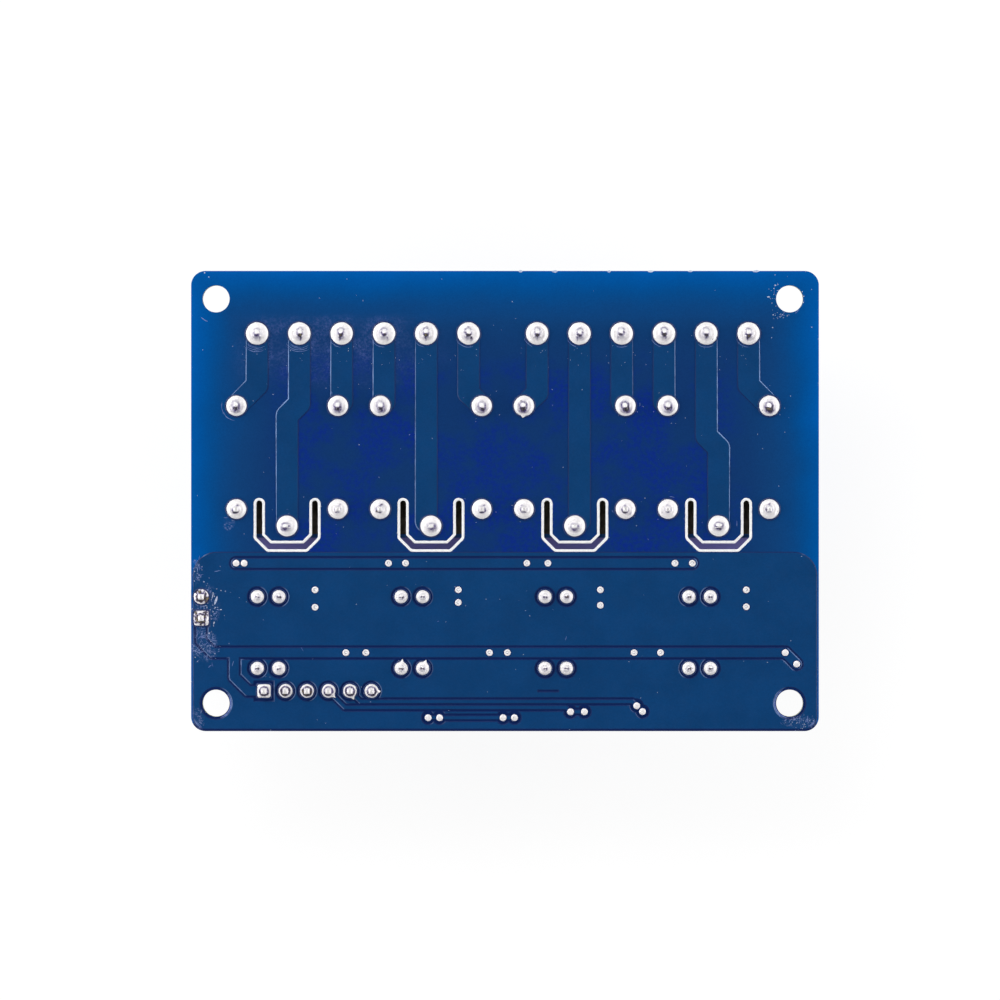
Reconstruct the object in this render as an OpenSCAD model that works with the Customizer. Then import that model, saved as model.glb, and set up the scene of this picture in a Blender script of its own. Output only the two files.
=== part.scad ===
// Four-channel relay module board, lying on its relays with the solder side up.
// The origin is at the middle of the four mounting holes, on the plane of the relay tops.
// X runs along the row of relays, Y points to the screw terminals, Z is up.

/* [Board] */
// Thickness of the bare board
board_t = 1.6; // [1.0:0.1:2.0]
// Radius of the board's corners
corner_r = 1.7; // [0.8:0.1:2.4]
// From the outer relay cover to the board's short edge
side_margin = 3.9; // [3.9:0.1:8]
// Sideways offset of the routed outline from the layout
outline_shift = 0.25; // [0:0.05:0.4]
// Diameter of the mounting holes
mount_d = 3.2; // [2.5:0.1:3.6]
// From a short edge to the mounting holes
mount_inset_x = 3.2; // [2.6:0.1:3.4]
// From a long edge to the mounting holes
mount_inset_y = 3.3; // [2.6:0.1:3.8]
// Bare ring round each mounting hole in the copper
mount_clear = 0.36; // [0.2:0.02:0.6]
// From the terminal pins to the long edge on their side
terminal_edge = 7.4; // [5:0.1:12]
// From the control header to the other long edge
header_edge = 4.75; // [4.2:0.01:8]

/* [Copper] */
// Height of the coated copper above the laminate
copper_t = 0.07; // [0.04:0.01:0.15]
// Width of the contact tracks
contact_track_w = 2.5; // [1.2:0.1:2.8]
// Width of the two supply tracks in the ground area
supply_track_w = 1.07; // [0.8:0.01:1.2]
// Width of the control signal tracks
signal_track_w = 0.36; // [0.2:0.02:0.4]
// Width of the isolation gap round a track
track_gap = 0.33; // [0.2:0.01:0.4]
// Bare rim between the ground area and the board's edge
pour_inset = 0.3; // [0.1:0.05:0.5]
// Radius of the ground area's upper corners
pour_r = 2.7; // [1:0.1:4]
// Gap between a contact pad and the coating round it
pad_gap = 0.08; // [0.04:0.01:0.15]
// Gap between a small pad and the ground area
ground_gap = 0.33; // [0.2:0.01:0.34]
// From the slots to the ground area's upper edge
slot_rim = 0.35; // [0.34:0.01:0.5]
// From the slots to the middle of the upper supply track
supply_step = 1.59; // [1.5:0.01:1.8]
// From the lower optocoupler row up to the middle of the lower supply track
return_step = 1.85; // [1.8:0.01:2.2]
// Gap between the header pads and the signal track beside them
signal_clear = 0.23; // [0.2:0.01:0.25]
// From the second signal track to the short link track
link_step = 1.21; // [1.1:0.01:1.3]

/* [Solder joints] */
// Diameter of the terminal pads
terminal_pad_d = 2.7; // [2:0.1:3.2]
// Diameter of the relay contact pads
contact_pad_d = 2.5; // [1.8:0.1:2.8]
// Diameter of the relay coil pads
coil_pad_d = 2.4; // [1.6:0.1:2.6]
// Diameter of the optocoupler and header pads
small_pad_d = 1.68; // [1.4:0.02:1.8]
// Diameter of the jumper pads
jumper_pad_d = 1.95; // [1.5:0.05:2.0]
// Height of the large joints
large_joint_h = 0.95; // [0.5:0.05:1.1]
// Height of the small joints
small_joint_h = 0.8; // [0.4:0.05:1.0]
// Height of a joint's upright rim
joint_rim = 0.1; // [0.05:0.01:0.2]
// Skin of solder round the lead at the top of a joint
joint_skin = 0.12; // [0.05:0.01:0.2]
// Length of every lead above the solder side
lead_out = 1.2; // [1.1:0.05:2.5]
// Width of every lead at its tip
lead_point = 0.2; // [0.15:0.01:0.22]
// Diameter of the via pads
via_pad_d = 0.76; // [0.6:0.02:0.8]
// Diameter of the drilled via
via_drill_d = 0.5; // [0.35:0.05:0.55]
// Diameter of the hole left in an open via
via_bore_d = 0.28; // [0.15:0.01:0.3]
// Height of the via pads above the coated copper
via_rise = 0.03; // [0.01:0.01:0.08]

/* [Isolation slots] */
// Width of the routed slots
slot_w = 0.8; // [0.6:0.05:1.2]
// Bare rim round the slots in the copper
slot_clear = 0.33; // [0.25:0.01:0.4]
// From the coil pins to a slot's side legs
slot_to_pin = 2.71; // [2.4:0.01:3]
// From the common pin to the cross leg of its slot
com_to_slot = 2.41; // [2.1:0.01:3]
// Size of the slot's cut corners
slot_corner = 1.19; // [0.6:0.01:1.6]
// From the cross leg to the rounded ends of the side legs
slot_leg = 5.06; // [3:0.01:6]

/* [Relays] */
// Gap between neighbouring relay covers
relay_space = 1.6; // [1:0.1:2.4]
// Width of a relay cover
relay_w = 15.4; // [14.6:0.1:16]
// Height of a relay above the board
relay_h = 15.3; // [14.5:0.1:18]
// Wall of the relay cover
relay_wall = 0.45; // [0.35:0.05:0.7]
// Rounding of the relay cover's upright corners
relay_corner = 0.6; // [0.3:0.1:0.7]
// Chamfer round the top of the relay cover
relay_chamfer = 0.5; // [0.2:0.05:0.7]
// Height of the feet that hold a relay off the board
relay_foot = 0.4; // [0.2:0.05:0.6]
// Thickness of the relay base
relay_base_t = 1.2; // [0.8:0.05:1.4]
// Gap between a relay and the terminal block behind it
relay_gap = 1.35; // [0.5:0.05:4]
// From the relay's rear face to its contact pins
relay_tail = 3.4; // [3.1:0.1:4]
// From the contact pins to the common pin
relay_reach = 14.2; // [14:0.1:16]
// From the common pin to the relay's front face
relay_nose = 1.4; // [1.2:0.1:2.2]
// From a relay's side faces to its coil and contact pins
pin_inset = 1.7; // [1.5:0.05:1.9]
// From the common pin to the line of the coil pins
coil_step = 2; // [1.8:0.05:2.2]

/* [Relay mechanism] */
// Thickness of the yoke
yoke_t = 1.2; // [0.8:0.05:1.4]
// Width of the yoke
yoke_w = 8; // [6:0.1:8.6]
// From the common pin to the yoke's upright leg
yoke_gap = 0.9; // [0.7:0.05:1.1]
// Diameter of the iron core
core_d = 4; // [3:0.1:4.6]
// Diameter of the pole face
pole_d = 6.4; // [5:0.1:7]
// Thickness of the pole face
pole_t = 0.5; // [0.3:0.05:0.7]
// Wall of the bobbin
bobbin_wall = 0.6; // [0.4:0.05:0.8]
// Width of the bobbin's flanges
flange_w = 9.4; // [8.6:0.1:9.6]
// Thickness of the bobbin's flanges
flange_t = 0.8; // [0.5:0.05:1]
// Rounding of the flanges' corners
flange_r = 1; // [0.5:0.1:2]
// Gap between the yoke and the flanges
coil_gap = 0.1; // [0.05:0.05:0.3]
// From the winding to the rim of the flanges
winding_inset = 0.5; // [0.3:0.05:0.8]
// Thickness of the armature
armature_t = 1; // [0.8:0.05:1.1]
// Width of the armature
armature_w = 7.6; // [6:0.1:8]
// Air gap between the resting armature and the pole face
air_gap = 0.55; // [0.54:0.01:0.6]
// Running clearance between the armature and the yoke
armature_play = 0.05; // [0.03:0.01:0.08]
// Thickness of the contact spring
leaf_t = 0.25; // [0.15:0.05:0.3]
// Width of the contact spring
leaf_w = 3; // [2:0.1:4]
// Diameter of the contact buttons
contact_d = 2.2; // [1.6:0.1:2.6]
// Height of a contact button
contact_h = 0.5; // [0.3:0.05:0.55]
// Contact gap of the open contact
contact_gap = 0.75; // [0.74:0.01:0.9]
// Thickness of the fixed contact strips
strip_t = 0.5; // [0.3:0.05:0.6]
// Width of the fixed contact strips
strip_w = 2; // [1.6:0.1:2.4]
// Room between the highest contact strip and the cover
contact_room = 1.19; // [0.4:0.01:1.6]

/* [Relay leads] */
// Width of the contact leads
contact_lead_w = 0.8; // [0.6:0.05:1.05]
// Thickness of the contact leads
contact_lead_t = 0.4; // [0.3:0.05:0.5]
// Side of the square coil leads
coil_lead = 0.6; // [0.4:0.05:0.65]
// Diameter of the drilled relay holes
relay_drill_d = 1.3; // [1.25:0.05:1.6]

/* [Screw terminals] */
// Distance between neighbouring terminals
terminal_pitch = 5; // [4.9:0.01:5.08]
// Offset of six terminals towards the board's middle from the middle of their two relays
terminal_shift = 0.45; // [0.3:0.01:0.6]
// From the terminal pins to the housing's rear face
terminal_back = 3.8; // [3.6:0.1:5]
// From the terminal pins to the housing's wire side
terminal_front = 4; // [3.8:0.1:5]
// Height of the terminal housing
terminal_h = 10; // [9.8:0.1:12]
// Height of the step on the wire side
terminal_step = 5.6; // [5.4:0.1:6.4]
// Depth of the step on the wire side
terminal_setback = 1; // [0.5:0.1:1.2]
// Half of the height of the slope between the two parts of the wire side
terminal_bevel = 0.6; // [0.3:0.1:1]
// Height of the sloped rear edge of the housing
terminal_slope = 2.4; // [1:0.1:3]
// Floor of the housing
terminal_floor = 0.8; // [0.5:0.1:0.9]
// Width of a wire entry
entry_w = 3.3; // [2.6:0.1:3.5]
// Height of a wire entry
entry_h = 3.3; // [2.6:0.1:3.5]
// Diameter of the clamp screw's head
screw_head_d = 3.4; // [3:0.1:3.6]
// Height of the clamp screw's head
screw_head_h = 1.5; // [1:0.1:1.6]
// Width of the screw's slot
screw_slot = 0.6; // [0.4:0.05:0.8]
// Diameter of the screw's shank
screw_d = 2.4; // [2:0.1:2.5]
// Outer width of the wire cage
cage_w = 3.6; // [3.4:0.05:3.7]
// Length of the wire cage along the wire
cage_l = 3.4; // [2.6:0.1:3.6]
// Wall of the wire cage
cage_wall = 0.6; // [0.4:0.05:0.7]
// Height of the wire cage
cage_h = 5.3; // [4.8:0.1:5.4]
// Running gap round the cage and the screw head
cage_play = 0.15; // [0.1:0.01:0.2]
// Gap between the cage and the screw head
head_gap = 0.4; // [0.2:0.05:0.6]
// Room between the cage's roof and the foot of the open screw
clamp_room = 1.4; // [1.2:0.05:1.6]
// Thickness of the current bar
bar_t = 0.6; // [0.4:0.05:0.7]
// Width of the current bar
bar_w = 2; // [1.4:0.1:2.1]
// Width of the terminal leads
terminal_lead_w = 0.9; // [0.6:0.05:1.05]
// Thickness of the terminal leads
terminal_lead_t = 0.7; // [0.5:0.05:0.85]
// Diameter of the drilled terminal holes
terminal_drill_d = 1.4; // [1.36:0.02:1.8]

/* [Optocouplers] */
// From the isolation slots to the first row of optocoupler leads
slot_to_opto = 5.95; // [5.6:0.05:8]
// Distance between the two rows of optocoupler leads
opto_row = 8.46; // [8.2:0.01:9.4]
// Sideways offset of an optocoupler from its relay
opto_shift = 2.25; // [1.8:0.05:2.6]
// Pitch of the small leads and header pins
pin_pitch = 2.54; // [2.5:0.01:2.6]
// Length of an optocoupler body along the row
opto_l = 4.6; // [4.2:0.1:5]
// Width of an optocoupler body across the rows
opto_w = 6.5; // [6:0.1:6.8]
// Height of an optocoupler body
opto_h = 3.5; // [3:0.1:4]
// Gap between an optocoupler body and the board
opto_lift = 0.5; // [0.3:0.05:0.8]
// Draft of the optocoupler body's sides
opto_draft = 0.25; // [0.1:0.05:0.3]
// Thickness of the optocoupler leads
opto_lead_t = 0.25; // [0.2:0.01:0.3]
// Width of the optocoupler leads in the board
opto_lead_w = 0.5; // [0.4:0.02:0.6]
// Width of the optocoupler leads above the board
opto_shoulder_w = 1.2; // [0.9:0.05:1.4]
// Diameter of the drilled optocoupler holes
opto_drill_d = 0.8; // [0.7:0.02:1]

/* [Headers] */
// From the second optocoupler row to the control header
opto_to_header = 2.68; // [2.6:0.01:4]
// From the board's short edge to the first control pin
header_inset = 8.62; // [8.3:0.01:10]
// Number of control pins
header_pins = 6; // [4:1:6]
// From the board's short edge to the jumper pins
jumper_inset = 1.2; // [1.15:0.05:1.6]
// Side of the square header pins
header_pin = 0.64; // [0.5:0.01:0.66]
// Height of the header's plastic body
header_h = 2.5; // [2:0.1:3]
// Length of the pins above the plastic body
header_reach = 6; // [5.5:0.1:8]
// Size of the notches between the header's cells
header_notch = 0.4; // [0.2:0.05:0.6]
// Diameter of the drilled header holes
header_drill_d = 1; // [0.96:0.02:1.2]
// Height of the jumper cap
cap_h = 6; // [5:0.1:6.4]
// Roof of the jumper cap above its pins
cap_roof = 0.6; // [0.4:0.05:0.8]

/* [Surface-mounted parts] */
// Sideways offset of the surface-mounted parts from their relay
smd_shift = 4.9; // [4.8:0.05:5.2]
// From the optocouplers' upper leads up to the diodes
diode_rise = 2.9; // [2.6:0.05:3.2]
// From the optocouplers' upper leads down to the transistors
transistor_drop = 1; // [0.9:0.05:1.2]
// From the transistors to the first resistors
resistor_drop = 2.9; // [2.6:0.05:3.2]
// Gap between neighbouring chips
chip_gap = 0.7; // [0.4:0.05:0.9]
// From the jumper pins to the supply's indicator and its resistor
power_shift = 3.4; // [3:0.1:3.6]
// Draft of the sides of the surface-mounted bodies
smd_draft = 0.1; // [0.05:0.01:0.15]
// Length of a chip resistor or indicator
chip_l = 2; // [1.6:0.1:2.2]
// Width of a chip resistor or indicator
chip_w = 1.25; // [0.8:0.05:1.3]
// Height of a chip resistor
chip_h = 0.55; // [0.4:0.05:0.7]
// Height of an indicator's lens
lamp_h = 0.8; // [0.6:0.05:1]
// Length of the metal ends of a chip
chip_end = 0.35; // [0.2:0.05:0.5]
// Length of a transistor body
transistor_l = 2.9; // [2.7:0.1:3.1]
// Width of a transistor body
transistor_w = 1.3; // [1.2:0.05:1.4]
// Height of a transistor body
transistor_h = 1; // [0.8:0.05:1.1]
// Distance across a transistor's leads
transistor_span = 2.4; // [2.2:0.1:2.6]
// Half of the distance between a transistor's paired leads
transistor_half = 0.95; // [0.9:0.01:1]
// Width of a transistor's leads
transistor_lead_w = 0.4; // [0.3:0.05:0.5]
// Thickness of a transistor's leads
transistor_lead_t = 0.15; // [0.1:0.01:0.2]
// Gap between a transistor body and the board
transistor_lift = 0.1; // [0.05:0.01:0.15]
// Length of a diode body
diode_l = 4.2; // [3.8:0.1:4.4]
// Width of a diode body
diode_w = 2.6; // [2.2:0.1:2.7]
// Height of a diode body
diode_h = 2.1; // [1.8:0.1:2.3]
// Length of a diode's metal feet beyond its body
diode_foot = 0.4; // [0.3:0.05:0.5]
// Length of a diode's metal feet under its body
diode_tuck = 1; // [0.8:0.05:1.2]
// Thickness of a diode's metal feet
diode_foot_t = 0.2; // [0.15:0.01:0.25]

/* [Hidden] */
RELAYS = [0, 1, 2, 3];
ROUND = 48;
CURVE_STEPS = 7;
EPS = 0.01;

// Small sizes inside the relays
rest_gap = 0.06;
foot_d = 1.2;
foot_inset = 0.8;
leaf_gap = 0.3;
rivet_rim = 0.8;
ear_gap = 0.2;
ear_rim = 0.3;
ear_l = 2;
ear_shift = 0.6;

// Relay columns
relay_pitch = relay_w + relay_space;
pin_half = relay_w / 2 - pin_inset;
slot_half = pin_half - slot_to_pin;

// Board and rows, from the terminal edge down
relay_l = relay_nose + relay_reach + relay_tail;
board_l = 3 * relay_pitch + relay_w + 2 * side_margin;
board_w = terminal_edge + terminal_back + relay_gap + relay_tail + relay_reach
    + com_to_slot + slot_to_opto + opto_row + opto_to_header + header_edge;
y_edge = board_w / 2;
x_left = outline_shift - board_l / 2;
y_terminal = y_edge - terminal_edge;
y_contact = y_terminal - terminal_back - relay_gap - relay_tail;
y_com = y_contact - relay_reach;
y_coil = y_com + coil_step;
y_slot = y_com - com_to_slot;
y_supply = y_slot - slot_w / 2 - supply_step;
y_opto = y_slot - slot_to_opto;
y_opto_low = y_opto - opto_row;
y_return = y_opto_low + return_step;
y_header = y_opto_low - opto_to_header;
y_pour = y_slot - slot_w / 2 - slot_rim;
signal_step = signal_track_w + track_gap + EPS;
y_signal_1 = y_header - small_pad_d / 2 - signal_clear - signal_track_w / 2;
y_signal_2 = y_signal_1 - signal_step;
y_link = y_signal_2 - link_step;

// Columns
x_relay = [for (n = RELAYS) (n - 1.5) * relay_pitch];
x_opto = [for (x = x_relay) x - opto_shift];
x_header = x_left + header_inset;
x_jumper = x_left + jumper_inset;
terminal_first = relay_pitch - terminal_shift - 2.5 * terminal_pitch;
mount_x = board_l / 2 - mount_inset_x;
mount_y = board_w / 2 - mount_inset_y;

// Heights above the component side
lead_tip = board_t + lead_out;
relay_floor = relay_foot + relay_base_t;
bobbin_low = relay_floor + yoke_t;
winding_low = bobbin_low + flange_t;
winding_l = relay_h - relay_wall - contact_room - strip_t - 2 * contact_h - rest_gap - leaf_t
    - armature_t - air_gap - pole_t - flange_t - winding_low;
winding_top = winding_low + winding_l;
bobbin_top = winding_top + flange_t;
pole_top = bobbin_top + pole_t;
yoke_top = pole_top + air_gap - armature_play;
armature_low = yoke_top + armature_play;
leaf_low = armature_low + armature_t;
leaf_top = leaf_low + leaf_t;
open_face = leaf_low - contact_h - contact_gap;
closed_face = leaf_top + contact_h + rest_gap;
yoke_front = yoke_gap + yoke_t;
coil_y = yoke_front + coil_gap + flange_w / 2;

// Vias of the upper supply track: relay, offset from its left coil pin, filled or open
supply_vias = [[0, -0.03, true], [0, 0.92, true], [1, 0.98, false], [1, 3, false],
               [2, 0.33, false], [2, 2.83, false], [3, 0.84, false], [3, 2.89, false]];
// Vias of the lower supply track: relay, offset from its right coil pin
return_vias = [[0, 0.94], [0, 3.31], [1, 0.92], [1, 3.03], [2, 1.01], [2, 4.13]];
// Pairs of driver vias: relay, offset from it, distance down to the second via
driver_vias = [[0, 3.3, 2.06], [1, 3.23, 1.49], [2, 3.02, 1.82], [3, 3.27, 2.01]];
driver_rise = 0.81;

// Turns and ends of the small tracks, from the nearest relay, pin or row
return_corner = 1.4;
return_reach = 1.87;
return_fall = 1.35;
branch_shift = 3.52;
branch_corner = 1.65;
signal_1_reach = 7.31;
signal_1_fall = 0.5;
signal_1_tail = 0.69;
signal_2_reach = 0.51;
signal_2_tail = 1.65;
link_start = 0.33;
link_end = 7.13;
link_pair = 1.35;
slit_start = 4.3;
slit_end = 2;
jog_left = 0.45;
jog_right = 4.28;
loop_step = 2;

// ---------------------------------------------------------------- flat shapes

// Rectangle with rounded corners, from two bars and four discs
module rounded(l, w, r) {
    square([l - 2 * r, w], center = true);
    square([l, w - 2 * r], center = true);
    for (sx = [-1, 1], sy = [-1, 1])
        translate([sx * (l / 2 - r), sy * (w / 2 - r)]) circle(r, $fn = ROUND);
}

// A strip of the given width that runs from point to point, with round ends and bends
module run(points, w) {
    for (p = points) translate(p) circle(d = w, $fn = ROUND);
    for (i = [0:len(points) - 2]) {
        step = points[i + 1] - points[i];
        translate(points[i]) rotate(atan2(step.y, step.x))
            translate([0, -w / 2]) square([norm(step), w]);
    }
}

// The side shape of a square pin with a chamfered tip, from z0 up to z1
module pin_profile(s, z0, z1, tip) {
    polygon([[-s / 2, z0], [s / 2, z0], [s / 2, z1 - tip], [s / 2 - tip, z1],
             [tip - s / 2, z1], [-s / 2, z1 - tip]]);
}

// ---------------------------------------------------------------- placing

// Component side: children are built with the board below them
module on_components() { translate([0, 0, relay_h]) mirror([0, 0, 1]) children(); }
// Solder side: children stand on the bare laminate
module on_solder() { translate([0, 0, relay_h + board_t]) children(); }
// The parts of a relay are built round its common pin
module at_relay(n) { translate([x_relay[n], y_com, 0]) children(); }
module each_relay() { for (n = RELAYS) at_relay(n) children(); }
// All twelve terminals, and one terminal housing
function terminal_x(side, k) = side * (terminal_first + k * terminal_pitch);
module each_terminal() {
    for (side = [-1, 1], k = [0:5]) translate([terminal_x(side, k), y_terminal, 0]) children();
}
module each_opto_lead() {
    for (x = x_opto, sx = [-1, 1], y = [y_opto, y_opto_low])
        translate([x + sx * pin_pitch / 2, y, 0]) children();
}
module each_mount() {
    for (sx = [-1, 1], sy = [-1, 1])
        translate([sx * mount_x, sy * mount_y, 0]) children();
}

// ---------------------------------------------------------------- board

// Centre line of the U-shaped isolation slot round a common pin
function slot_path(x) = [
    [x - slot_half, y_slot + slot_leg], [x - slot_half, y_slot + slot_corner],
    [x - slot_half + slot_corner, y_slot], [x + slot_half - slot_corner, y_slot],
    [x + slot_half, y_slot + slot_corner], [x + slot_half, y_slot + slot_leg]];

module slots_flat(grow) {
    for (x = x_relay) run(slot_path(x), slot_w + 2 * grow);
}

function supply_via(v) = [x_relay[v[0]] - pin_half + v[1], y_supply];
function return_via(v) = [x_relay[v[0]] + pin_half + v[1], y_return];
supply_end = supply_via(supply_vias[len(supply_vias) - 1]);
return_turn = [x_relay[3] + pin_half + return_reach, y_return];
return_end = return_turn + return_fall * [1, -1];
signal_1_end = [x_relay[2] + signal_1_reach, y_signal_1 - signal_1_fall];
signal_1_tip = signal_1_end + signal_1_tail * [1, -1];
signal_2_end = [x_relay[2] - signal_2_reach, y_signal_2 - signal_2_reach];
signal_2_tip = signal_2_end + [signal_2_tail, 0];
link_left = x_relay[1] - link_start;
link_right = x_relay[2] - link_end;

// Places of the vias with a hole, and of those filled with solder
open_vias = concat(
    [for (v = supply_vias) if (!v[2]) supply_via(v)],
    [for (v = return_vias) return_via(v)],
    [for (v = driver_vias, up = [0, 1]) [x_relay[v[0]] + v[1], y_opto + driver_rise - up * v[2]]]);
filled_vias = concat(
    [for (v = supply_vias) if (v[2]) supply_via(v)],
    [return_turn, return_end],
    [for (x = [link_left, link_left + link_pair, link_right - link_pair, link_right]) [x, y_link]],
    [signal_2_end, signal_2_tip, signal_1_end, signal_1_tip]);

module board() {
    color([0.06, 0.2, 0.47])
    difference() {
        translate([outline_shift, 0, relay_h])
            linear_extrude(board_t) rounded(board_l, board_w, corner_r);
        translate([0, 0, relay_h - EPS]) {
            linear_extrude(board_t + 2 * EPS) slots_flat(0);
            each_mount() cylinder(d = mount_d, h = board_t + 2 * EPS, $fn = ROUND);
            each_terminal() drill(terminal_drill_d);
            each_relay() each_relay_lead() drill(relay_drill_d);
            each_opto_lead() drill(opto_drill_d);
            each_header_pin() drill(header_drill_d);
            for (p = concat(open_vias, filled_vias)) translate(p) drill(via_drill_d);
        }
    }
}
module drill(d) { cylinder(d = d, h = board_t + 2 * EPS, $fn = ROUND / 2); }

// Round the common pin: two coil leads, two contact leads and the common lead
module each_relay_lead() {
    for (sx = [-1, 1], y = [coil_step, relay_reach]) translate([sx * pin_half, y, 0]) children();
    children();
}
function header_pin_at(i) = [x_header + i * pin_pitch, y_header, 0];
function jumper_pin_at(i) = [x_jumper, y_opto - i * pin_pitch, 0];
module each_control_pin() { for (i = [0:header_pins - 1]) translate(header_pin_at(i)) children(); }
module each_jumper_pin() { for (i = [0, 1]) translate(jumper_pin_at(i)) children(); }
module each_header_pin() {
    each_control_pin() children();
    each_jumper_pin() children();
}

// ---------------------------------------------------------------- copper

// The six terminals of one side: what each leads to, and where a jog lies below the contact pins
module contact_track(side, k, jog) {
    group = floor(k / 3);
    role = k % 3;
    relay = side * (group + 0.5) * relay_pitch;
    start = [terminal_x(side, k), y_terminal];
    end = role == 1 ? [relay, y_com] : [relay + side * (role - 1) * pin_half, y_contact];
    shift = abs(end.x - start.x);
    jogged = role == 1 && group == 1;
    bend = jogged ? y_contact - jog + shift / 2 : end.y + shift;
    run(concat([start, [start.x, bend]], jogged ? [[end.x, bend - shift]] : [], [end]),
        contact_track_w);
}

// Ground area with rounded upper corners
module ground_area() {
    low = -y_edge + pour_inset;
    l = board_l - 2 * pour_inset;
    r = corner_r - pour_inset;
    translate([outline_shift, 0]) {
        translate([-l / 2, low + r]) square([l, y_pour - pour_r - low - r]);
        translate([pour_r - l / 2, y_pour - pour_r]) square([l - 2 * pour_r, pour_r]);
        translate([r - l / 2, low]) square([l - 2 * r, r]);
        for (sx = [-1, 1]) {
            translate([sx * (l / 2 - pour_r), y_pour - pour_r]) circle(pour_r, $fn = ROUND);
            translate([sx * (l / 2 - r), low + r]) circle(r, $fn = ROUND);
        }
    }
}

jumper_low = jumper_pin_at(1);
header_bend = x_header - branch_shift;
supply_path = [supply_via(supply_vias[0]), supply_end];
return_path = [[x_jumper, jumper_low.y], [x_jumper, y_return + return_corner],
               [x_jumper + return_corner, y_return], return_turn, return_end];
branch_path = [[header_bend, y_return], [header_bend, y_header + branch_corner],
               [header_bend + branch_corner, y_header], [x_header, y_header]];
pin_4 = header_pin_at(header_pins - 3);
pin_5 = header_pin_at(header_pins - 2);
drop_1 = y_header - y_signal_1;
drop_2 = y_header - y_signal_2;
signal_1_path = [[pin_5.x, y_header], [pin_5.x + drop_1, y_signal_1],
                 [signal_1_end.x - signal_1_fall, y_signal_1], signal_1_end, signal_1_tip];
signal_2_path = [[pin_4.x, y_header], [pin_4.x + drop_2, y_signal_2],
                 [signal_2_end.x - signal_2_reach, y_signal_2], signal_2_end, signal_2_tip];
link_path = [[link_left, y_link], [link_right, y_link]];

module inner_tracks(grow) {
    for (path = [supply_path, return_path, branch_path]) run(path, supply_track_w + 2 * grow);
    for (path = [signal_1_path, signal_2_path, link_path]) run(path, signal_track_w + 2 * grow);
}

module pad_openings() {
    each_terminal() circle(d = terminal_pad_d + 2 * pad_gap, $fn = ROUND);
    each_relay() each_relay_lead() circle(d = contact_pad_d + 2 * pad_gap, $fn = ROUND);
    each_opto_lead() circle(d = small_pad_d + 2 * pad_gap, $fn = ROUND);
    each_control_pin() circle(d = small_pad_d + 2 * pad_gap, $fn = ROUND);
    translate(header_pin_at(0)) square(small_pad_d + 2 * pad_gap, center = true);
    each_jumper_pin() circle(d = jumper_pad_d + 2 * pad_gap, $fn = ROUND);
    translate(jumper_pin_at(1)) square(jumper_pad_d + 2 * pad_gap, center = true);
    for (p = concat(open_vias, filled_vias)) translate(p) circle(d = via_drill_d, $fn = ROUND / 2);
}

module ground_openings() {
    each_opto_lead() circle(d = small_pad_d + 2 * (pad_gap + ground_gap), $fn = ROUND);
    each_control_pin() circle(d = small_pad_d + 2 * (pad_gap + ground_gap), $fn = ROUND);
    translate(header_pin_at(0)) square(small_pad_d + 2 * (pad_gap + ground_gap), center = true);
    for (p = [for (i = [len(filled_vias) - 8:len(filled_vias) - 1]) filled_vias[i]])
        translate(p) circle(d = via_pad_d + 2 * (2 * pad_gap + ground_gap), $fn = ROUND);
    each_mount() circle(d = mount_d + 2 * mount_clear, $fn = ROUND);
    inner_tracks(track_gap);
    slots_flat(slot_clear);
    run([[x_relay[2] - slit_start, y_header], [x_relay[2] - slit_end, y_header]], track_gap);
}

module solder_side_copper() {
    color([0.07, 0.26, 0.46]) on_solder() linear_extrude(copper_t) difference() {
        union() {
            difference() {
                ground_area();
                ground_openings();
            }
            inner_tracks(0);
            for (side = [-1, 1], k = [0:5])
                contact_track(side, k, side < 0 ? jog_left : jog_right);
        }
        pad_openings();
    }
}

// Hidden tracks between the coils, the driver parts and the optocouplers
module component_side_copper() {
    w = supply_track_w;
    color([0.07, 0.26, 0.46]) on_components() linear_extrude(copper_t) difference() {
        for (x = x_relay) {
            run([[x - pin_half, y_coil], [x - pin_half, y_supply]], w);
            run([[x + pin_half, y_coil], [x + pin_half, y_diode + diode_w]], w);
            run([[x - opto_shift + pin_pitch / 2, y_opto],
                 [x - opto_shift + pin_pitch / 2, y_opto + loop_step], [x - pin_half, y_opto + loop_step],
                 [x - pin_half, y_supply]], signal_track_w);
            run([[x - opto_shift + pin_pitch / 2, y_opto_low],
                 [x - opto_shift + pin_pitch / 2, y_opto_low + loop_step],
                 [x + smd_shift - chip_l, y_opto_low + loop_step]], signal_track_w);
        }
        each_relay() {
            each_relay_lead() circle(d = coil_pad_d, $fn = ROUND / 2);
            translate([0, relay_mid]) each_foot() circle(d = foot_d + 2 * pad_gap, $fn = ROUND / 2);
        }
        each_opto_lead() circle(d = small_pad_d, $fn = ROUND / 2);
        for (p = concat(open_vias, filled_vias)) translate(p) circle(d = via_pad_d, $fn = ROUND / 2);
        slots_flat(slot_clear);
    }
}

// Plated barrels: a sleeve through the board and a pad on the coated copper
module vias() {
    color("silver") on_solder() {
        for (p = open_vias) translate(p) difference() {
            via_body();
            translate([0, 0, -board_t - EPS])
                cylinder(d = via_bore_d, h = board_t + copper_t + via_rise + 2 * EPS, $fn = ROUND / 2);
        }
        for (p = filled_vias) translate(p) via_body();
    }
}
module via_body() {
    translate([0, 0, -board_t]) cylinder(d = via_drill_d, h = board_t + copper_t, $fn = ROUND / 2);
    translate([0, 0, copper_t]) cylinder(d = via_pad_d, h = via_rise, $fn = ROUND / 2);
}

// ---------------------------------------------------------------- solder joints

// Half section of a joint: an upright rim, then a hollow slope up to the lead
joint_hollow = 1.7;
function meniscus(r_pad, r_top, h) = concat(
    [[0, 0], [r_pad, 0]],
    [for (i = [0:CURVE_STEPS]) let (t = i / CURVE_STEPS)
        [r_top + (r_pad - r_top) * pow(1 - t, joint_hollow), joint_rim + (h - joint_rim) * t]],
    [[0, h]]);

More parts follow.
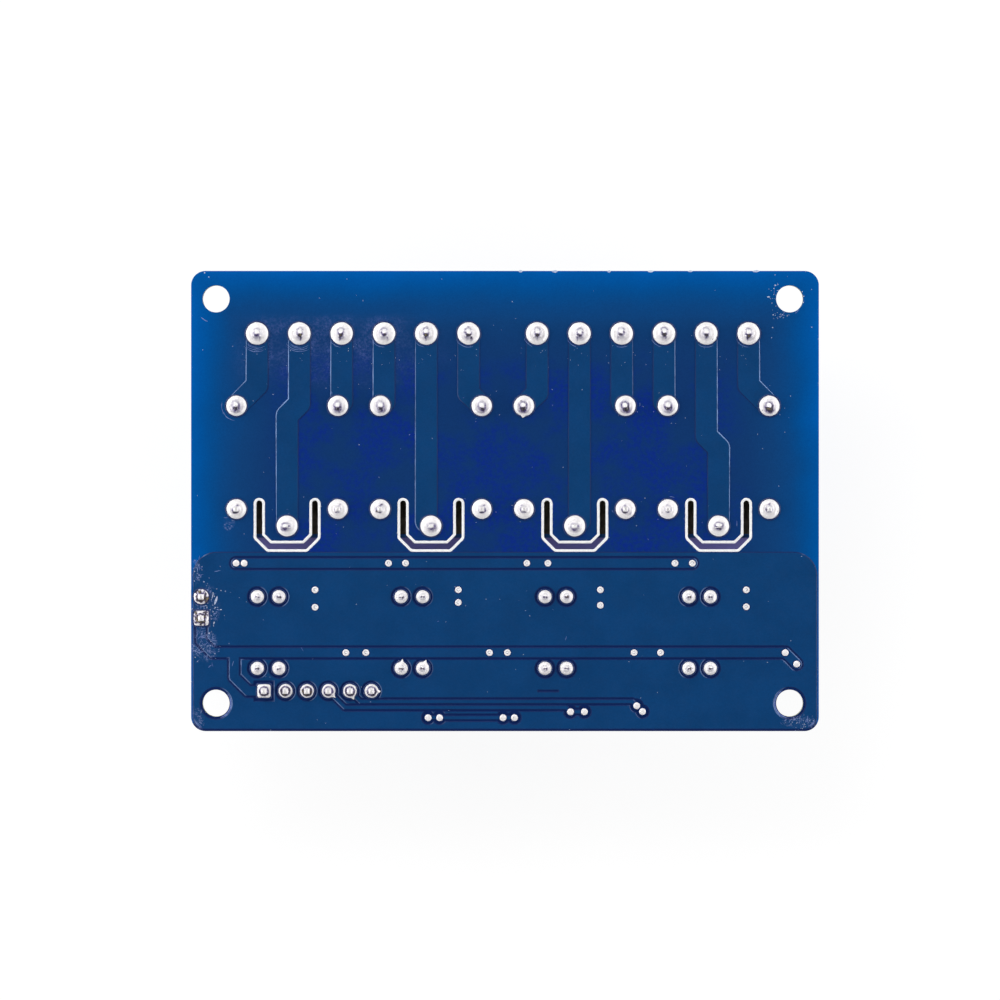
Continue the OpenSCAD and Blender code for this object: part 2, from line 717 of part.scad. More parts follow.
module joint(pad_d, h, lead_x, lead_y) {
    difference() {
        rotate_extrude($fn = ROUND)
            polygon(meniscus(pad_d / 2, max(lead_x, lead_y) / 2 + joint_skin, h));
        translate([-lead_x / 2, -lead_y / 2, -EPS]) cube([lead_x, lead_y, h + 2 * EPS]);
    }
}
// The same on a square pad
module square_joint(side, h, lead) {
    intersection() {
        joint(side * sqrt(2), h, lead, lead);
        translate([-side / 2, -side / 2, 0]) cube([side, side, h]);
    }
}

module terminal_joints() {
    color("gainsboro") on_solder() each_terminal()
        joint(terminal_pad_d, large_joint_h, terminal_lead_w, terminal_lead_t);
}
module relay_joints() {
    color("gainsboro") on_solder() each_relay() {
        joint(contact_pad_d, large_joint_h, contact_lead_w, contact_lead_t);
        for (sx = [-1, 1]) {
            translate([sx * pin_half, relay_reach, 0])
                joint(contact_pad_d, large_joint_h, contact_lead_t, contact_lead_w);
            translate([sx * pin_half, coil_step, 0])
                joint(coil_pad_d, large_joint_h, coil_lead, coil_lead);
        }
    }
}
module optocoupler_joints() {
    color("gainsboro") on_solder() each_opto_lead()
        joint(small_pad_d, small_joint_h, opto_lead_w, opto_lead_t);
}
module header_joints() {
    color("gainsboro") on_solder() {
        for (i = [1:header_pins - 1]) translate(header_pin_at(i))
            joint(small_pad_d, small_joint_h, header_pin, header_pin);
        translate(header_pin_at(0)) square_joint(small_pad_d, small_joint_h, header_pin);
        translate(jumper_pin_at(0)) joint(jumper_pad_d, small_joint_h, header_pin, header_pin);
        translate(jumper_pin_at(1)) square_joint(jumper_pad_d, small_joint_h, header_pin);
    }
}

// A straight lead that stands out of the solder side and narrows to its tip
module lead(wx, wy, top) {
    mirror([0, 0, 1]) intersection() {
        rotate([90, 0, 0]) linear_extrude(wy, center = true)
            pin_profile(wx, -top, lead_tip, (wx - lead_point) / 2);
        rotate([90, 0, 90]) linear_extrude(wx, center = true)
            pin_profile(wy, -top, lead_tip, (wy - lead_point) / 2);
    }
}

// ---------------------------------------------------------------- screw terminals

cavity_w = cage_w + 2 * cage_play;
cage_low = terminal_floor + bar_t + cage_play;
cage_top = cage_low + cage_h;
bar_low = cage_top - cage_wall - clamp_room;
screw_low = bar_low + bar_t;
head_low = cage_top + head_gap;
cavity_top = cage_top + cage_play;
bar_back = -cage_l / 2 - cage_play - bar_t;
cavity_back = bar_back - cage_play / 2;

module terminal_housing(side, block) {
    color("royalblue") on_components() difference() {
        translate([terminal_x(side, 3 * block + 1), y_terminal, 0]) housing_shell();
        for (k = [3 * block:3 * block + 2]) translate([terminal_x(side, k), y_terminal, 0])
            terminal_cavity();
    }
}

// Stepped side shape of the housing, pulled out along the row
module housing_shell() {
    l = 3 * terminal_pitch;
    rotate([90, 0, 90]) translate([0, 0, -l / 2]) linear_extrude(l) polygon([
        [-terminal_back, 0], [terminal_front, 0], [terminal_front, terminal_step - terminal_bevel],
        [terminal_front - terminal_setback, terminal_step + terminal_bevel],
        [terminal_front - terminal_setback, terminal_h], [terminal_bevel - terminal_back, terminal_h],
        [-terminal_back, terminal_h - terminal_slope]]);
}

// Room for a cage, its screw and its bar, with the wire entry
module terminal_cavity() {
    translate([-cavity_w / 2, cavity_back, terminal_floor])
        cube([cavity_w, cage_l / 2 + cage_play - cavity_back, cavity_top - terminal_floor]);
    translate([0, 0, cavity_top - EPS])
        cylinder(d = screw_head_d + 2 * cage_play, h = terminal_h - cavity_top + 2 * EPS, $fn = ROUND);
    translate([-entry_w / 2, 0, cage_low])
        cube([entry_w, terminal_front + EPS, entry_h]);
    translate([-terminal_lead_w / 2, -terminal_lead_t / 2, -EPS])
        cube([terminal_lead_w, terminal_lead_t, terminal_floor + 2 * EPS]);
}

module clamp_screws() {
    color("silver") on_components() each_terminal() difference() {
        union() {
            translate([0, 0, screw_low]) cylinder(d = screw_d, h = head_low - screw_low, $fn = ROUND);
            translate([0, 0, head_low]) cylinder(d = screw_head_d, h = screw_head_h, $fn = ROUND);
        }
        translate([-screw_head_d, -screw_slot / 2, head_low + screw_head_h / 2])
            cube([2 * screw_head_d, screw_slot, screw_head_h]);
    }
}

// Rising wire cage: a square ring that the screw lifts against the bar
module wire_cages() {
    color("lightgray") on_components() each_terminal() difference() {
        translate([-cage_w / 2, -cage_l / 2, cage_low]) cube([cage_w, cage_l, cage_h]);
        translate([cage_wall - cage_w / 2, -cage_l, cage_low + cage_wall])
            cube([cage_w - 2 * cage_wall, 2 * cage_l, cage_h - 2 * cage_wall]);
        translate([0, 0, cage_low]) cylinder(d = screw_d, h = cage_h + EPS, $fn = ROUND);
    }
}

// Current bar: through the cage, down behind it and out through the board
module terminal_bars() {
    color("gold") on_components() each_terminal() {
        translate([-bar_w / 2, bar_back, bar_low]) cube([bar_w, cage_l / 2 - bar_back, bar_t]);
        translate([-bar_w / 2, bar_back, terminal_floor])
            cube([bar_w, bar_t, screw_low - terminal_floor]);
        translate([-bar_w / 2, bar_back, terminal_floor])
            cube([bar_w, terminal_lead_t / 2 - bar_back, bar_t]);
        lead(terminal_lead_w, terminal_lead_t, terminal_floor + bar_t / 2);
    }
}

// ---------------------------------------------------------------- optocouplers

opto_mid = opto_lift + opto_h / 2;
opto_y = (y_opto + y_opto_low) / 2;
dot_d = 0.9;
dot_depth = 0.07;

// Drafted box: a six-sided section, widest at the parting line
module drafted(l, w, z0, h, draft) {
    mid = z0 + h / 2;
    intersection() {
        rotate([90, 0, 0]) linear_extrude(w, center = true) section(l, z0, mid, h, draft);
        rotate([90, 0, 90]) linear_extrude(l, center = true) section(w, z0, mid, h, draft);
    }
}
module section(l, z0, mid, h, draft) {
    polygon([[draft - l / 2, z0], [l / 2 - draft, z0], [l / 2, mid], [l / 2 - draft, z0 + h],
             [draft - l / 2, z0 + h], [-l / 2, mid]]);
}

module optocoupler_bodies() {
    color("dimgray") on_components() for (x = x_opto) translate([x, opto_y, 0]) difference() {
        drafted(opto_l, opto_w, opto_lift, opto_h, opto_draft);
        translate([pin_pitch / 2, pin_pitch, opto_lift + opto_h - dot_depth])
            cylinder(d = dot_d, h = dot_depth + EPS, $fn = ROUND / 2);
    }
}

// Leads: out at the parting line, down past a wide shoulder and through the board
module optocoupler_leads() {
    color("silver") on_components() for (x = x_opto, sx = [-1, 1], sy = [-1, 1])
        translate([x + sx * pin_pitch / 2, opto_y + sy * opto_row / 2, 0]) scale([1, sy, 1]) {
            run_in = opto_row / 2 - opto_w / 2;
            translate([-opto_shoulder_w / 2, -run_in, opto_mid - opto_lead_t / 2])
                cube([opto_shoulder_w, run_in + opto_lead_t / 2, opto_lead_t]);
            translate([-opto_shoulder_w / 2, -opto_lead_t / 2, opto_lift])
                cube([opto_shoulder_w, opto_lead_t, opto_mid + opto_lead_t / 2 - opto_lift]);
            lead(opto_lead_w, opto_lead_t, opto_lift + EPS);
        }
}

// ---------------------------------------------------------------- headers

header_tail = header_h + header_reach;

// A row of square cells with notched corners, bored for the pins
module cells(count, along) {
    difference() {
        for (i = [0:count - 1]) translate(i * pin_pitch * along) linear_extrude(header_h) polygon([
            for (turn = [0:90:270], step = [-1, 1])
                let (h = pin_pitch / 2, n = h - header_notch,
                     p = step < 0 ? [h, -n] : [h, n])
                [p.x * cos(turn) - p.y * sin(turn), p.x * sin(turn) + p.y * cos(turn)]]);
        for (i = [0:count - 1]) translate(i * pin_pitch * along + [0, 0, header_h / 2])
            cube([header_pin, header_pin, 2 * header_h], center = true);
    }
}
module header_housing() {
    color([0.12, 0.12, 0.12]) on_components() translate(header_pin_at(0)) cells(header_pins, [1, 0, 0]);
}
module jumper_housing() {
    color([0.12, 0.12, 0.12]) on_components() translate(jumper_pin_at(0)) cells(2, [0, -1, 0]);
}
module header_pins() {
    color("gold") on_components() {
        each_control_pin() straight_pin(header_tail);
        each_jumper_pin() straight_pin(header_tail);
    }
}
// A header pin with a chamfer at both ends
module straight_pin(top) {
    intersection() {
        lead(header_pin, header_pin, top);
        mirror([0, 0, 1]) translate([0, 0, -top]) intersection() {
            rotate([90, 0, 0]) linear_extrude(header_pin, center = true) scale([1, -1])
                pin_profile(header_pin, -top - lead_tip, 0, header_pin / 4);
            rotate([90, 0, 90]) linear_extrude(header_pin, center = true) scale([1, -1])
                pin_profile(header_pin, -top - lead_tip, 0, header_pin / 4);
        }
    }
}
module jumper_cap() {
    low = header_h + header_reach + cap_roof - cap_h;
    color([0.12, 0.12, 0.12]) on_components() translate((jumper_pin_at(0) + jumper_pin_at(1)) / 2)
        difference() {
            translate([0, 0, low]) linear_extrude(cap_h)
                rounded(pin_pitch - 2 * EPS, 2 * pin_pitch - 2 * EPS, header_notch);
            for (sy = [-1, 1]) translate([0, sy * pin_pitch / 2, low - EPS])
                linear_extrude(cap_h - cap_roof + EPS) square(header_pin, center = true);
        }
}

// ---------------------------------------------------------------- surface-mounted parts

chip_pitch = chip_w + chip_gap;
y_diode = y_opto + diode_rise;
y_transistor = y_opto - transistor_drop;
y_resistor = y_transistor - resistor_drop;
y_lamp = y_resistor - 2 * chip_pitch;
x_power = x_jumper + power_shift;

// Chips: one base and one input resistor and an indicator for each relay, and a pair for the supply
module each_resistor() {
    for (x = x_relay, i = [0, 1]) translate([x + smd_shift, y_resistor - i * chip_pitch, 0]) children();
    translate([x_power, y_opto, 0]) rotate(90) children();
}
module each_indicator() {
    for (x = x_relay) translate([x + smd_shift, y_lamp, 0]) children();
    translate([x_power, y_opto - 1.5 * chip_l, 0]) rotate(90) children();
}
module chip_middle(h) {
    translate([chip_end - chip_l / 2, -chip_w / 2, 0]) cube([chip_l - 2 * chip_end, chip_w, h]);
}
module resistor_bodies() {
    color([0.15, 0.15, 0.16]) on_components() each_resistor() chip_middle(chip_h);
}
// Indicator: a narrow lens on a flat carrier
module indicator_lenses() {
    color("mistyrose") on_components() each_indicator() {
        chip_middle(chip_h / 2);
        drafted(chip_l - 2 * chip_end, chip_w - smd_draft, chip_h / 2, lamp_h - chip_h / 2, smd_draft);
    }
}
module chip_ends() {
    color("silver") on_components() {
        each_resistor() end_pair(chip_h);
        each_indicator() end_pair(chip_h / 2);
    }
}
module end_pair(h) {
    for (sx = [-1, 1]) translate([sx * (chip_l - chip_end) / 2, 0, h / 2])
        cube([chip_end, chip_w, h], center = true);
}

module each_transistor() {
    for (x = x_relay) translate([x + smd_shift, y_transistor, 0]) children();
}
module transistor_bodies() {
    color([0.15, 0.15, 0.16]) on_components() each_transistor()
        drafted(transistor_l, transistor_w, transistor_lift, transistor_h, smd_draft);
}
// Three gull-wing leads: two on one side, one on the other
module transistor_leads() {
    color("silver") on_components() each_transistor() {
        for (sx = [-1, 1]) translate([sx * transistor_half, 0, 0]) gull_wing();
        mirror([0, 1, 0]) gull_wing();
    }
}
module gull_wing() {
    t = transistor_lead_t;
    mid = transistor_lift + transistor_h / 2;
    rotate([90, 0, 90]) linear_extrude(transistor_lead_w, center = true) polygon([
        [transistor_w / 2, mid + t / 2], [transistor_w / 2, mid - t / 2],
        [transistor_w / 2 + t, mid - t / 2], [transistor_w / 2 + t, 0], [transistor_span / 2, 0],
        [transistor_span / 2, t], [transistor_w / 2 + 2 * t, t], [transistor_w / 2 + 2 * t, mid + t / 2]]);
}

module each_diode() { for (x = x_relay) translate([x + smd_shift, y_diode, 0]) children(); }
module diode_bodies() {
    color([0.15, 0.15, 0.16]) on_components() each_diode()
        drafted(diode_l, diode_w, diode_foot_t, diode_h, smd_draft);
}
// Flat feet folded under both ends of a diode
module diode_feet() {
    color("silver") on_components() each_diode() for (sx = [-1, 1]) scale([sx, 1, 1]) {
        translate([diode_l / 2, -diode_w / 4, 0])
            cube([diode_foot_t, diode_w / 2, diode_foot_t + diode_h / 2]);
        translate([diode_l / 2 - diode_tuck, -diode_w / 4, 0])
            cube([diode_tuck + diode_foot, diode_w / 2, diode_foot_t]);
    }
}

// ---------------------------------------------------------------- relay

inner_w = relay_w - 2 * relay_wall;
inner_l = relay_l - 2 * relay_wall;
relay_mid = (relay_reach + relay_tail - relay_nose) / 2;

// Moulded cover, open towards the board, with a chamfered top
module relay_cover(n) {
    h = relay_h - relay_foot;
    color("mediumblue") on_components() at_relay(n) translate([0, relay_mid, relay_foot]) difference() {
        intersection() {
            linear_extrude(h) rounded(relay_w, relay_l, relay_corner);
            rotate([90, 0, 0]) linear_extrude(relay_l, center = true)
                pin_profile(relay_w, 0, h, relay_chamfer);
            rotate([90, 0, 90]) linear_extrude(relay_w, center = true)
                pin_profile(relay_l, 0, h, relay_chamfer);
        }
        translate([-inner_w / 2, -inner_l / 2, -EPS]) cube([inner_w, inner_l, h - relay_wall + EPS]);
    }
}

// Base plate with feet, slotted for the leads
module each_foot() {
    for (sx = [-1, 1], sy = [-1, 1])
        translate([sx * (inner_w / 2 - foot_inset), sy * (inner_l / 2 - foot_inset), 0]) children();
}
module relay_base(n) {
    color([0.1, 0.1, 0.1]) on_components() at_relay(n) difference() {
        translate([0, relay_mid, 0]) {
            translate([-inner_w / 2, -inner_l / 2, relay_foot]) cube([inner_w, inner_l, relay_base_t]);
            each_foot() cylinder(d = foot_d, h = relay_foot, $fn = ROUND / 2);
        }
        base_slot(contact_lead_w, contact_lead_t);
        for (sx = [-1, 1]) {
            translate([sx * pin_half, relay_reach, 0]) base_slot(contact_lead_t, contact_lead_w);
            translate([sx * pin_half, coil_step, 0]) base_slot(coil_lead, coil_lead);
        }
    }
}
module base_slot(wx, wy) {
    translate([-wx / 2, -wy / 2, -EPS]) cube([wx, wy, relay_floor + 2 * EPS]);
}

// Coil former: two flanges and a sleeve, with ears over the coil leads, beside the yoke
ear_in = yoke_w / 2 + ear_gap;
ear_out = pin_half + coil_lead / 2 + ear_rim;
module relay_bobbin(n) {
    color("whitesmoke") on_components() at_relay(n) difference() {
        union() {
            translate([0, coil_y, bobbin_low]) {
                linear_extrude(flange_t) rounded(flange_w, flange_w, flange_r);
                cylinder(d = core_d + 2 * bobbin_wall, h = bobbin_top - bobbin_low, $fn = ROUND);
            }
            translate([0, coil_y, winding_top])
                linear_extrude(flange_t) rounded(flange_w, flange_w, flange_r);
            for (sx = [-1, 1])
                translate([sx * (ear_in + ear_out) / 2, coil_step + ear_shift, bobbin_low + flange_t / 2])
                    cube([ear_out - ear_in, ear_l, flange_t], center = true);
        }
        translate([0, coil_y, bobbin_low - EPS])
            cylinder(d = core_d, h = bobbin_top - bobbin_low + 2 * EPS, $fn = ROUND);
        for (sx = [-1, 1]) translate([sx * pin_half, coil_step, bobbin_low])
            cube([coil_lead, coil_lead, 4 * flange_t], center = true);
    }
}

module relay_winding(n) {
    color("peru") on_components() at_relay(n) translate([0, coil_y, winding_low]) difference() {
        cylinder(d = flange_w - 2 * winding_inset, h = winding_l, $fn = ROUND);
        translate([0, 0, -EPS])
            cylinder(d = core_d + 2 * bobbin_wall, h = winding_l + 2 * EPS, $fn = ROUND);
    }
}

// Folded yoke with the core riveted into its foot
module relay_yoke(n) {
    foot_l = coil_y + core_d / 2 + rivet_rim - yoke_gap;
    color("slategray") on_components() at_relay(n) {
        difference() {
            translate([-yoke_w / 2, yoke_gap, relay_floor]) {
                cube([yoke_w, yoke_t, yoke_top - relay_floor]);
                cube([yoke_w, foot_l, yoke_t]);
            }
            translate([0, coil_y, relay_floor - EPS])
                cylinder(d = core_d, h = yoke_t + 2 * EPS, $fn = ROUND);
        }
        translate([0, coil_y, relay_floor]) cylinder(d = core_d, h = bobbin_top - relay_floor, $fn = ROUND);
        translate([0, coil_y, bobbin_top]) cylinder(d = pole_d, h = pole_t, $fn = ROUND);
    }
}

// Armature plate: it tips about the inner edge of the yoke's top
module relay_armature(n) {
    color("lightslategray") on_components() at_relay(n)
        translate([-armature_w / 2, yoke_gap, armature_low])
            cube([armature_w, coil_y + pole_d / 2 - yoke_gap, armature_t]);
}

// Contact spring on the armature: folded over the yoke, with a button on each face at its tip
module relay_spring(n) {
    back = yoke_gap - leaf_gap - leaf_t;
    color("goldenrod") on_components() at_relay(n) {
        translate([-leaf_w / 2, back, leaf_low]) cube([leaf_w, relay_reach - back, leaf_t]);
        translate([-leaf_w / 2, back, yoke_top - yoke_t])
            cube([leaf_w, leaf_t, leaf_top - yoke_top + yoke_t]);
        translate([0, relay_reach, leaf_low]) cylinder(d = leaf_w, h = leaf_t, $fn = ROUND);
        translate([0, relay_reach, leaf_low - contact_h])
            cylinder(d = contact_d, h = leaf_t + 2 * contact_h, $fn = ROUND);
    }
}

// The five leads: the fixed contacts are strips that reach in over the base from both sides
module relay_contacts(n) {
    color("darkgoldenrod") on_components() at_relay(n) {
        for (sx = [-1, 1]) translate([sx * pin_half, coil_step, 0])
            lead(coil_lead, coil_lead, bobbin_low + 2 * flange_t);
        lead(contact_lead_w, contact_lead_t, relay_floor + EPS);
        translate([-contact_lead_w, -contact_lead_t / 2, relay_floor])
            cube([2 * contact_lead_w, yoke_gap + contact_lead_t / 2, contact_lead_t]);
        translate([pin_half, relay_reach, 0]) fixed_contact(1, open_face - contact_h - strip_t, 1);
        translate([-pin_half, relay_reach, 0]) fixed_contact(-1, closed_face + contact_h, -1);
    }
}
module fixed_contact(side, arm_low, up) {
    lead(contact_lead_t, contact_lead_w, relay_floor + EPS);
    translate([-contact_lead_t / 2, -strip_w / 2, relay_floor])
        cube([contact_lead_t, strip_w, arm_low + strip_t - relay_floor]);
    scale([-side, 1, 1]) translate([-contact_lead_t / 2, -strip_w / 2, arm_low])
        cube([pin_half + contact_lead_t / 2 + contact_d / 2, strip_w, strip_t]);
    translate([-side * pin_half, 0, up > 0 ? arm_low + strip_t : arm_low - contact_h])
        cylinder(d = contact_d, h = contact_h, $fn = ROUND);
}

// ---------------------------------------------------------------- nodes

board();
solder_side_copper();
component_side_copper();
vias();
terminal_joints();
relay_joints();
optocoupler_joints();
header_joints();
terminal_housing(-1, 1);  // terminal_housing_1
terminal_housing(-1, 0);  // terminal_housing_2
terminal_housing(1, 0);  // terminal_housing_3
terminal_housing(1, 1);  // terminal_housing_4
clamp_screws();
wire_cages();
terminal_bars();
optocoupler_bodies();
optocoupler_leads();
header_housing();
jumper_housing();
header_pins();
jumper_cap();
transistor_bodies();
transistor_leads();
diode_bodies();
diode_feet();
resistor_bodies();
indicator_lenses();
chip_ends();
for (n = RELAYS) {
    relay_cover(n);
    relay_base(n);
    relay_bobbin(n);
    relay_winding(n);
    relay_yoke(n);
    relay_armature(n);
    relay_spring(n);
    relay_contacts(n);
}
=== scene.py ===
"""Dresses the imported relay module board: finishes, solder, coated copper edges, marks and a studio."""

from __future__ import annotations

import logging
import math
import random
import sys
from dataclasses import dataclass, field, replace
from enum import Enum
from functools import reduce
from typing import Iterable, Sequence, Union

import bmesh
import bpy
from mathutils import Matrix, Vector, noise
from mathutils.bvhtree import BVHTree


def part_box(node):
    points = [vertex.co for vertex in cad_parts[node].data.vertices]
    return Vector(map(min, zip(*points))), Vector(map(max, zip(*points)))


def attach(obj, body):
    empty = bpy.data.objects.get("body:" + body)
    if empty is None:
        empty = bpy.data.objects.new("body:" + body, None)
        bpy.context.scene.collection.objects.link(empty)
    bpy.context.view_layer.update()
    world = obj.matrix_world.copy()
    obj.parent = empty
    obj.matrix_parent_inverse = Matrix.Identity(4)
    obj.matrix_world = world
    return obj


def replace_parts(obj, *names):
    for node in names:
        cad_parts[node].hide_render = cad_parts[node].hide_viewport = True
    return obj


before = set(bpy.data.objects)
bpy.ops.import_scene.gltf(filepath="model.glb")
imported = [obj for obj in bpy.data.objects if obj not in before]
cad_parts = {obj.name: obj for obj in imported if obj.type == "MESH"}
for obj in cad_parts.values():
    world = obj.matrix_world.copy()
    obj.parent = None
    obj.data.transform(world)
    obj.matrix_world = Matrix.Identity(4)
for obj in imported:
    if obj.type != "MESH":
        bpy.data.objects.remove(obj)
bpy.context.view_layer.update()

LOG = logging.getLogger("relay_board")
MM = 0.001
BODY = "module"
WELD = 1e-7
UP = Vector((0, 0, 1))
DOWN = Vector((0, 0, -1))
Colour = tuple[float, float, float]
Box = tuple[Vector, Vector]
Socket = bpy.types.NodeSocket
Value = Union[float, Sequence[float], Socket]


class Form(Enum):
    """The kinds of solder joint on the board."""

    TERMINAL = "terminal"
    CONTACT = "contact"
    COIL = "coil"
    COMMON = "common"
    SMALL = "small"
    PIN = "pin"
    SQUARE_PIN = "square_pin"
    JUMPER = "jumper"
    SQUARE_JUMPER = "square_jumper"


# ---------------------------------------------------------------- finishes


def shade(red: float, green: float, blue: float) -> tuple[float, float, float, float]:
    """Turns a colour given as 0 to 255 into linear light.

    Args:
        red: Red share.
        green: Green share.
        blue: Blue share.

    Returns:
        The linear colour with full alpha.
    """

    def lift(share: float) -> float:
        """Linear light of one share, by the usual screen curve."""
        v = share / 255
        return v / 12.92 if v <= 0.04045 else ((v + 0.055) / 1.055) ** 2.4

    return lift(red), lift(green), lift(blue), 1.0


@dataclass(frozen=True)
class Spot:
    """A scuffed place: its middle and half widths in metres, and how strong it is."""

    x: float
    y: float
    half_x: float
    half_y: float
    strength: float


class Tree:
    """A finish's node tree, with short calls for the nodes that the finishes share."""

    def __init__(self, name: str) -> None:
        """Starts a tree that ends in a Principled shader.

        Args:
            name: The material's name.
        """
        self.material = bpy.data.materials.new(name)
        self.material.use_nodes = True
        self.nodes = self.material.node_tree.nodes
        self.links = self.material.node_tree.links
        self.nodes.clear()
        self.shader = self.nodes.new("ShaderNodeBsdfPrincipled")
        self.output = self.nodes.new("ShaderNodeOutputMaterial")
        self.links.new(self.shader.outputs[0], self.output.inputs["Surface"])
        self.place = self.nodes.new("ShaderNodeTexCoord").outputs["Object"]

    def feed(self, socket: Socket, value: Value) -> None:
        """Links a socket to another one, or sets its value.

        Args:
            socket: The input to feed.
            value: The socket that it takes its value from, or the value itself.
        """
        if isinstance(value, Socket):
            self.links.new(value, socket)
        else:
            socket.default_value = value

    def calc(self, operation: str, *values: Value, clamp: bool = False) -> Socket:
        """Adds a Math node.

        Args:
            operation: The node's operation.
            values: Its inputs in order.
            clamp: Whether the result is kept within 0 and 1.

        Returns:
            The result's socket.
        """
        node = self.nodes.new("ShaderNodeMath")
        node.operation = operation
        node.use_clamp = clamp
        for socket, value in zip(node.inputs, values):
            self.feed(socket, value)
        return node.outputs[0]

    def times(self, *values: Value) -> Socket:
        """Multiplies values, from the first to the last."""
        return reduce(lambda first, second: self.calc("MULTIPLY", first, second), values)

    def plus(self, first: Value, second: Value) -> Socket:
        """Adds two values."""
        return self.calc("ADD", first, second)

    def less(self, first: Value, second: Value) -> Socket:
        """Takes the second value from the first."""
        return self.calc("SUBTRACT", first, second)

    def mix(self, factor: Value, first: Value, second: Value, blend: str = "MIX") -> Socket:
        """Mixes two colours.

        Args:
            factor: Share of the second colour.
            first: First colour.
            second: Second colour.
            blend: The node's blend type.

        Returns:
            The mixed colour's socket.
        """
        node = self.nodes.new("ShaderNodeMix")
        node.data_type = "RGBA"
        node.blend_type = blend
        self.feed(node.inputs[0], factor)
        self.feed(node.inputs[6], first)
        self.feed(node.inputs[7], second)
        return node.outputs[2]

    def noise(self, size: float, detail: float = 2, rough: float = 0.5,
              vector: Union[Socket, None] = None) -> Socket:
        """Adds a noise pattern.

        Args:
            size: Size of its largest features in millimetres.
            detail: Number of finer layers.
            rough: Strength of the finer layers.
            vector: Where it is read; the object's own coordinates if left out.

        Returns:
            The pattern's socket, about 0.5 on average.
        """
        node = self.nodes.new("ShaderNodeTexNoise")
        self.feed(node.inputs["Vector"], vector or self.place)
        node.inputs["Scale"].default_value = 1 / (size * MM)
        node.inputs["Detail"].default_value = detail
        node.inputs["Roughness"].default_value = rough
        return node.outputs["Fac"]

    def spread(self, value: Value, low: float, high: float, to_low: float = 0, to_high: float = 1,
               smooth: bool = True) -> Socket:
        """Maps a value from one range to another.

        Args:
            value: The value to map.
            low: Start of its range.
            high: End of its range.
            to_low: What the start becomes.
            to_high: What the end becomes.
            smooth: Whether both ends are eased.

        Returns:
            The mapped value's socket.
        """
        node = self.nodes.new("ShaderNodeMapRange")
        node.interpolation_type = "SMOOTHSTEP" if smooth else "LINEAR"
        for socket, v in zip(node.inputs, (value, low, high, to_low, to_high)):
            self.feed(socket, v)
        return node.outputs[0]

    def wander(self, middle: float, swing: float, size: float, detail: float) -> Socket:
        """A value that wanders round a middle.

        Args:
            middle: Its middle.
            swing: How far it goes to either side.
            size: Size of the largest features in millimetres.
            detail: Number of finer layers.

        Returns:
            The value's socket.
        """
        return self.spread(self.noise(size, detail), 0.3, 0.7, middle - swing, middle + swing)

    def ramp(self, factor: Value, stops: Sequence[tuple[float, Colour]]) -> Socket:
        """Adds a colour ramp.

        Args:
            factor: Where the ramp is read.
            stops: Pairs of position and colour in 0 to 255.

        Returns:
            The colour's socket.
        """
        node = self.nodes.new("ShaderNodeValToRGB")
        self.feed(node.inputs[0], factor)
        while len(node.color_ramp.elements) < len(stops):
            node.color_ramp.elements.new(1)
        for element, (position, colour) in zip(node.color_ramp.elements, stops):
            element.position = position
            element.color = shade(*colour)
        return node.outputs[0]

    def axes(self) -> tuple[Socket, ...]:
        """Splits the object's own place.

        Returns:
            Its X, Y and Z.
        """
        node = self.nodes.new("ShaderNodeSeparateXYZ")
        self.links.new(self.place, node.inputs[0])
        return tuple(node.outputs)

    def upright(self) -> Socket:
        """Reads how far the surface faces up.

        Returns:
            The upward share of its normal, from -1 to 1.
        """
        node = self.nodes.new("ShaderNodeSeparateXYZ")
        self.links.new(self.nodes.new("ShaderNodeNewGeometry").outputs["Normal"], node.inputs[0])
        return node.outputs[2]

    def attribute(self, name: str) -> Socket:
        """Reads a mesh attribute.

        Args:
            name: The attribute's name.

        Returns:
            Its value.
        """
        node = self.nodes.new("ShaderNodeAttribute")
        node.attribute_name = name
        return node.outputs["Fac"]

    def bump(self, height: Value, depth: float, strength: float) -> None:
        """Gives the surface relief.

        Args:
            height: The relief, 0 to 1.
            depth: Its depth in millimetres.
            strength: How strongly it shows.
        """
        node = self.nodes.new("ShaderNodeBump")
        node.inputs["Strength"].default_value = strength
        node.inputs["Distance"].default_value = depth * MM
        self.feed(node.inputs["Height"], height)
        self.links.new(node.outputs[0], self.shader.inputs["Normal"])

    def scuffed(self, skin: Socket, spots: Sequence[Spot]) -> Socket:
        """Adds pale veins and specks where the coat is scuffed.

        Args:
            skin: The unharmed colour.
            spots: The scuffed places.

        Returns:
            The colour with the scuffs.
        """
        if not spots:
            return skin
        x, y, _ = self.axes()
        mask: Value = 0.0
        for spot in spots:
            dx = self.calc("DIVIDE", self.less(x, spot.x), spot.half_x)
            dy = self.calc("DIVIDE", self.less(y, spot.y), spot.half_y)
            far = self.plus(self.times(dx, dx), self.times(dy, dy))
            mask = self.calc("MAXIMUM", mask, self.spread(far, 0.35, 1, spot.strength, 0))
        contour = self.calc("ABSOLUTE", self.less(self.noise(0.8, 3, 0.7), 0.5))
        veins = self.spread(contour, 0, 0.02, 1, 0)
        crumbs = self.spread(self.noise(0.2, 3, 0.7), 0.5, 0.64)
        cloud = self.spread(self.noise(1.3, 3, 0.6), 0.46, 0.6, 0.1, 1)
        amount = self.times(self.calc("MAXIMUM", veins, crumbs), self.times(mask, cloud))
        return self.mix(amount, skin, shade(150, 164, 214))

    def surface(self, **values: Value) -> bpy.types.Material:
        """Feeds the shader's sockets.

        Args:
            values: Their values, by their names with underscores for spaces.

        Returns:
            The finished material.
        """
        for name, value in values.items():
            self.feed(self.shader.inputs[name.replace("_", " ")], value)
        return self.material


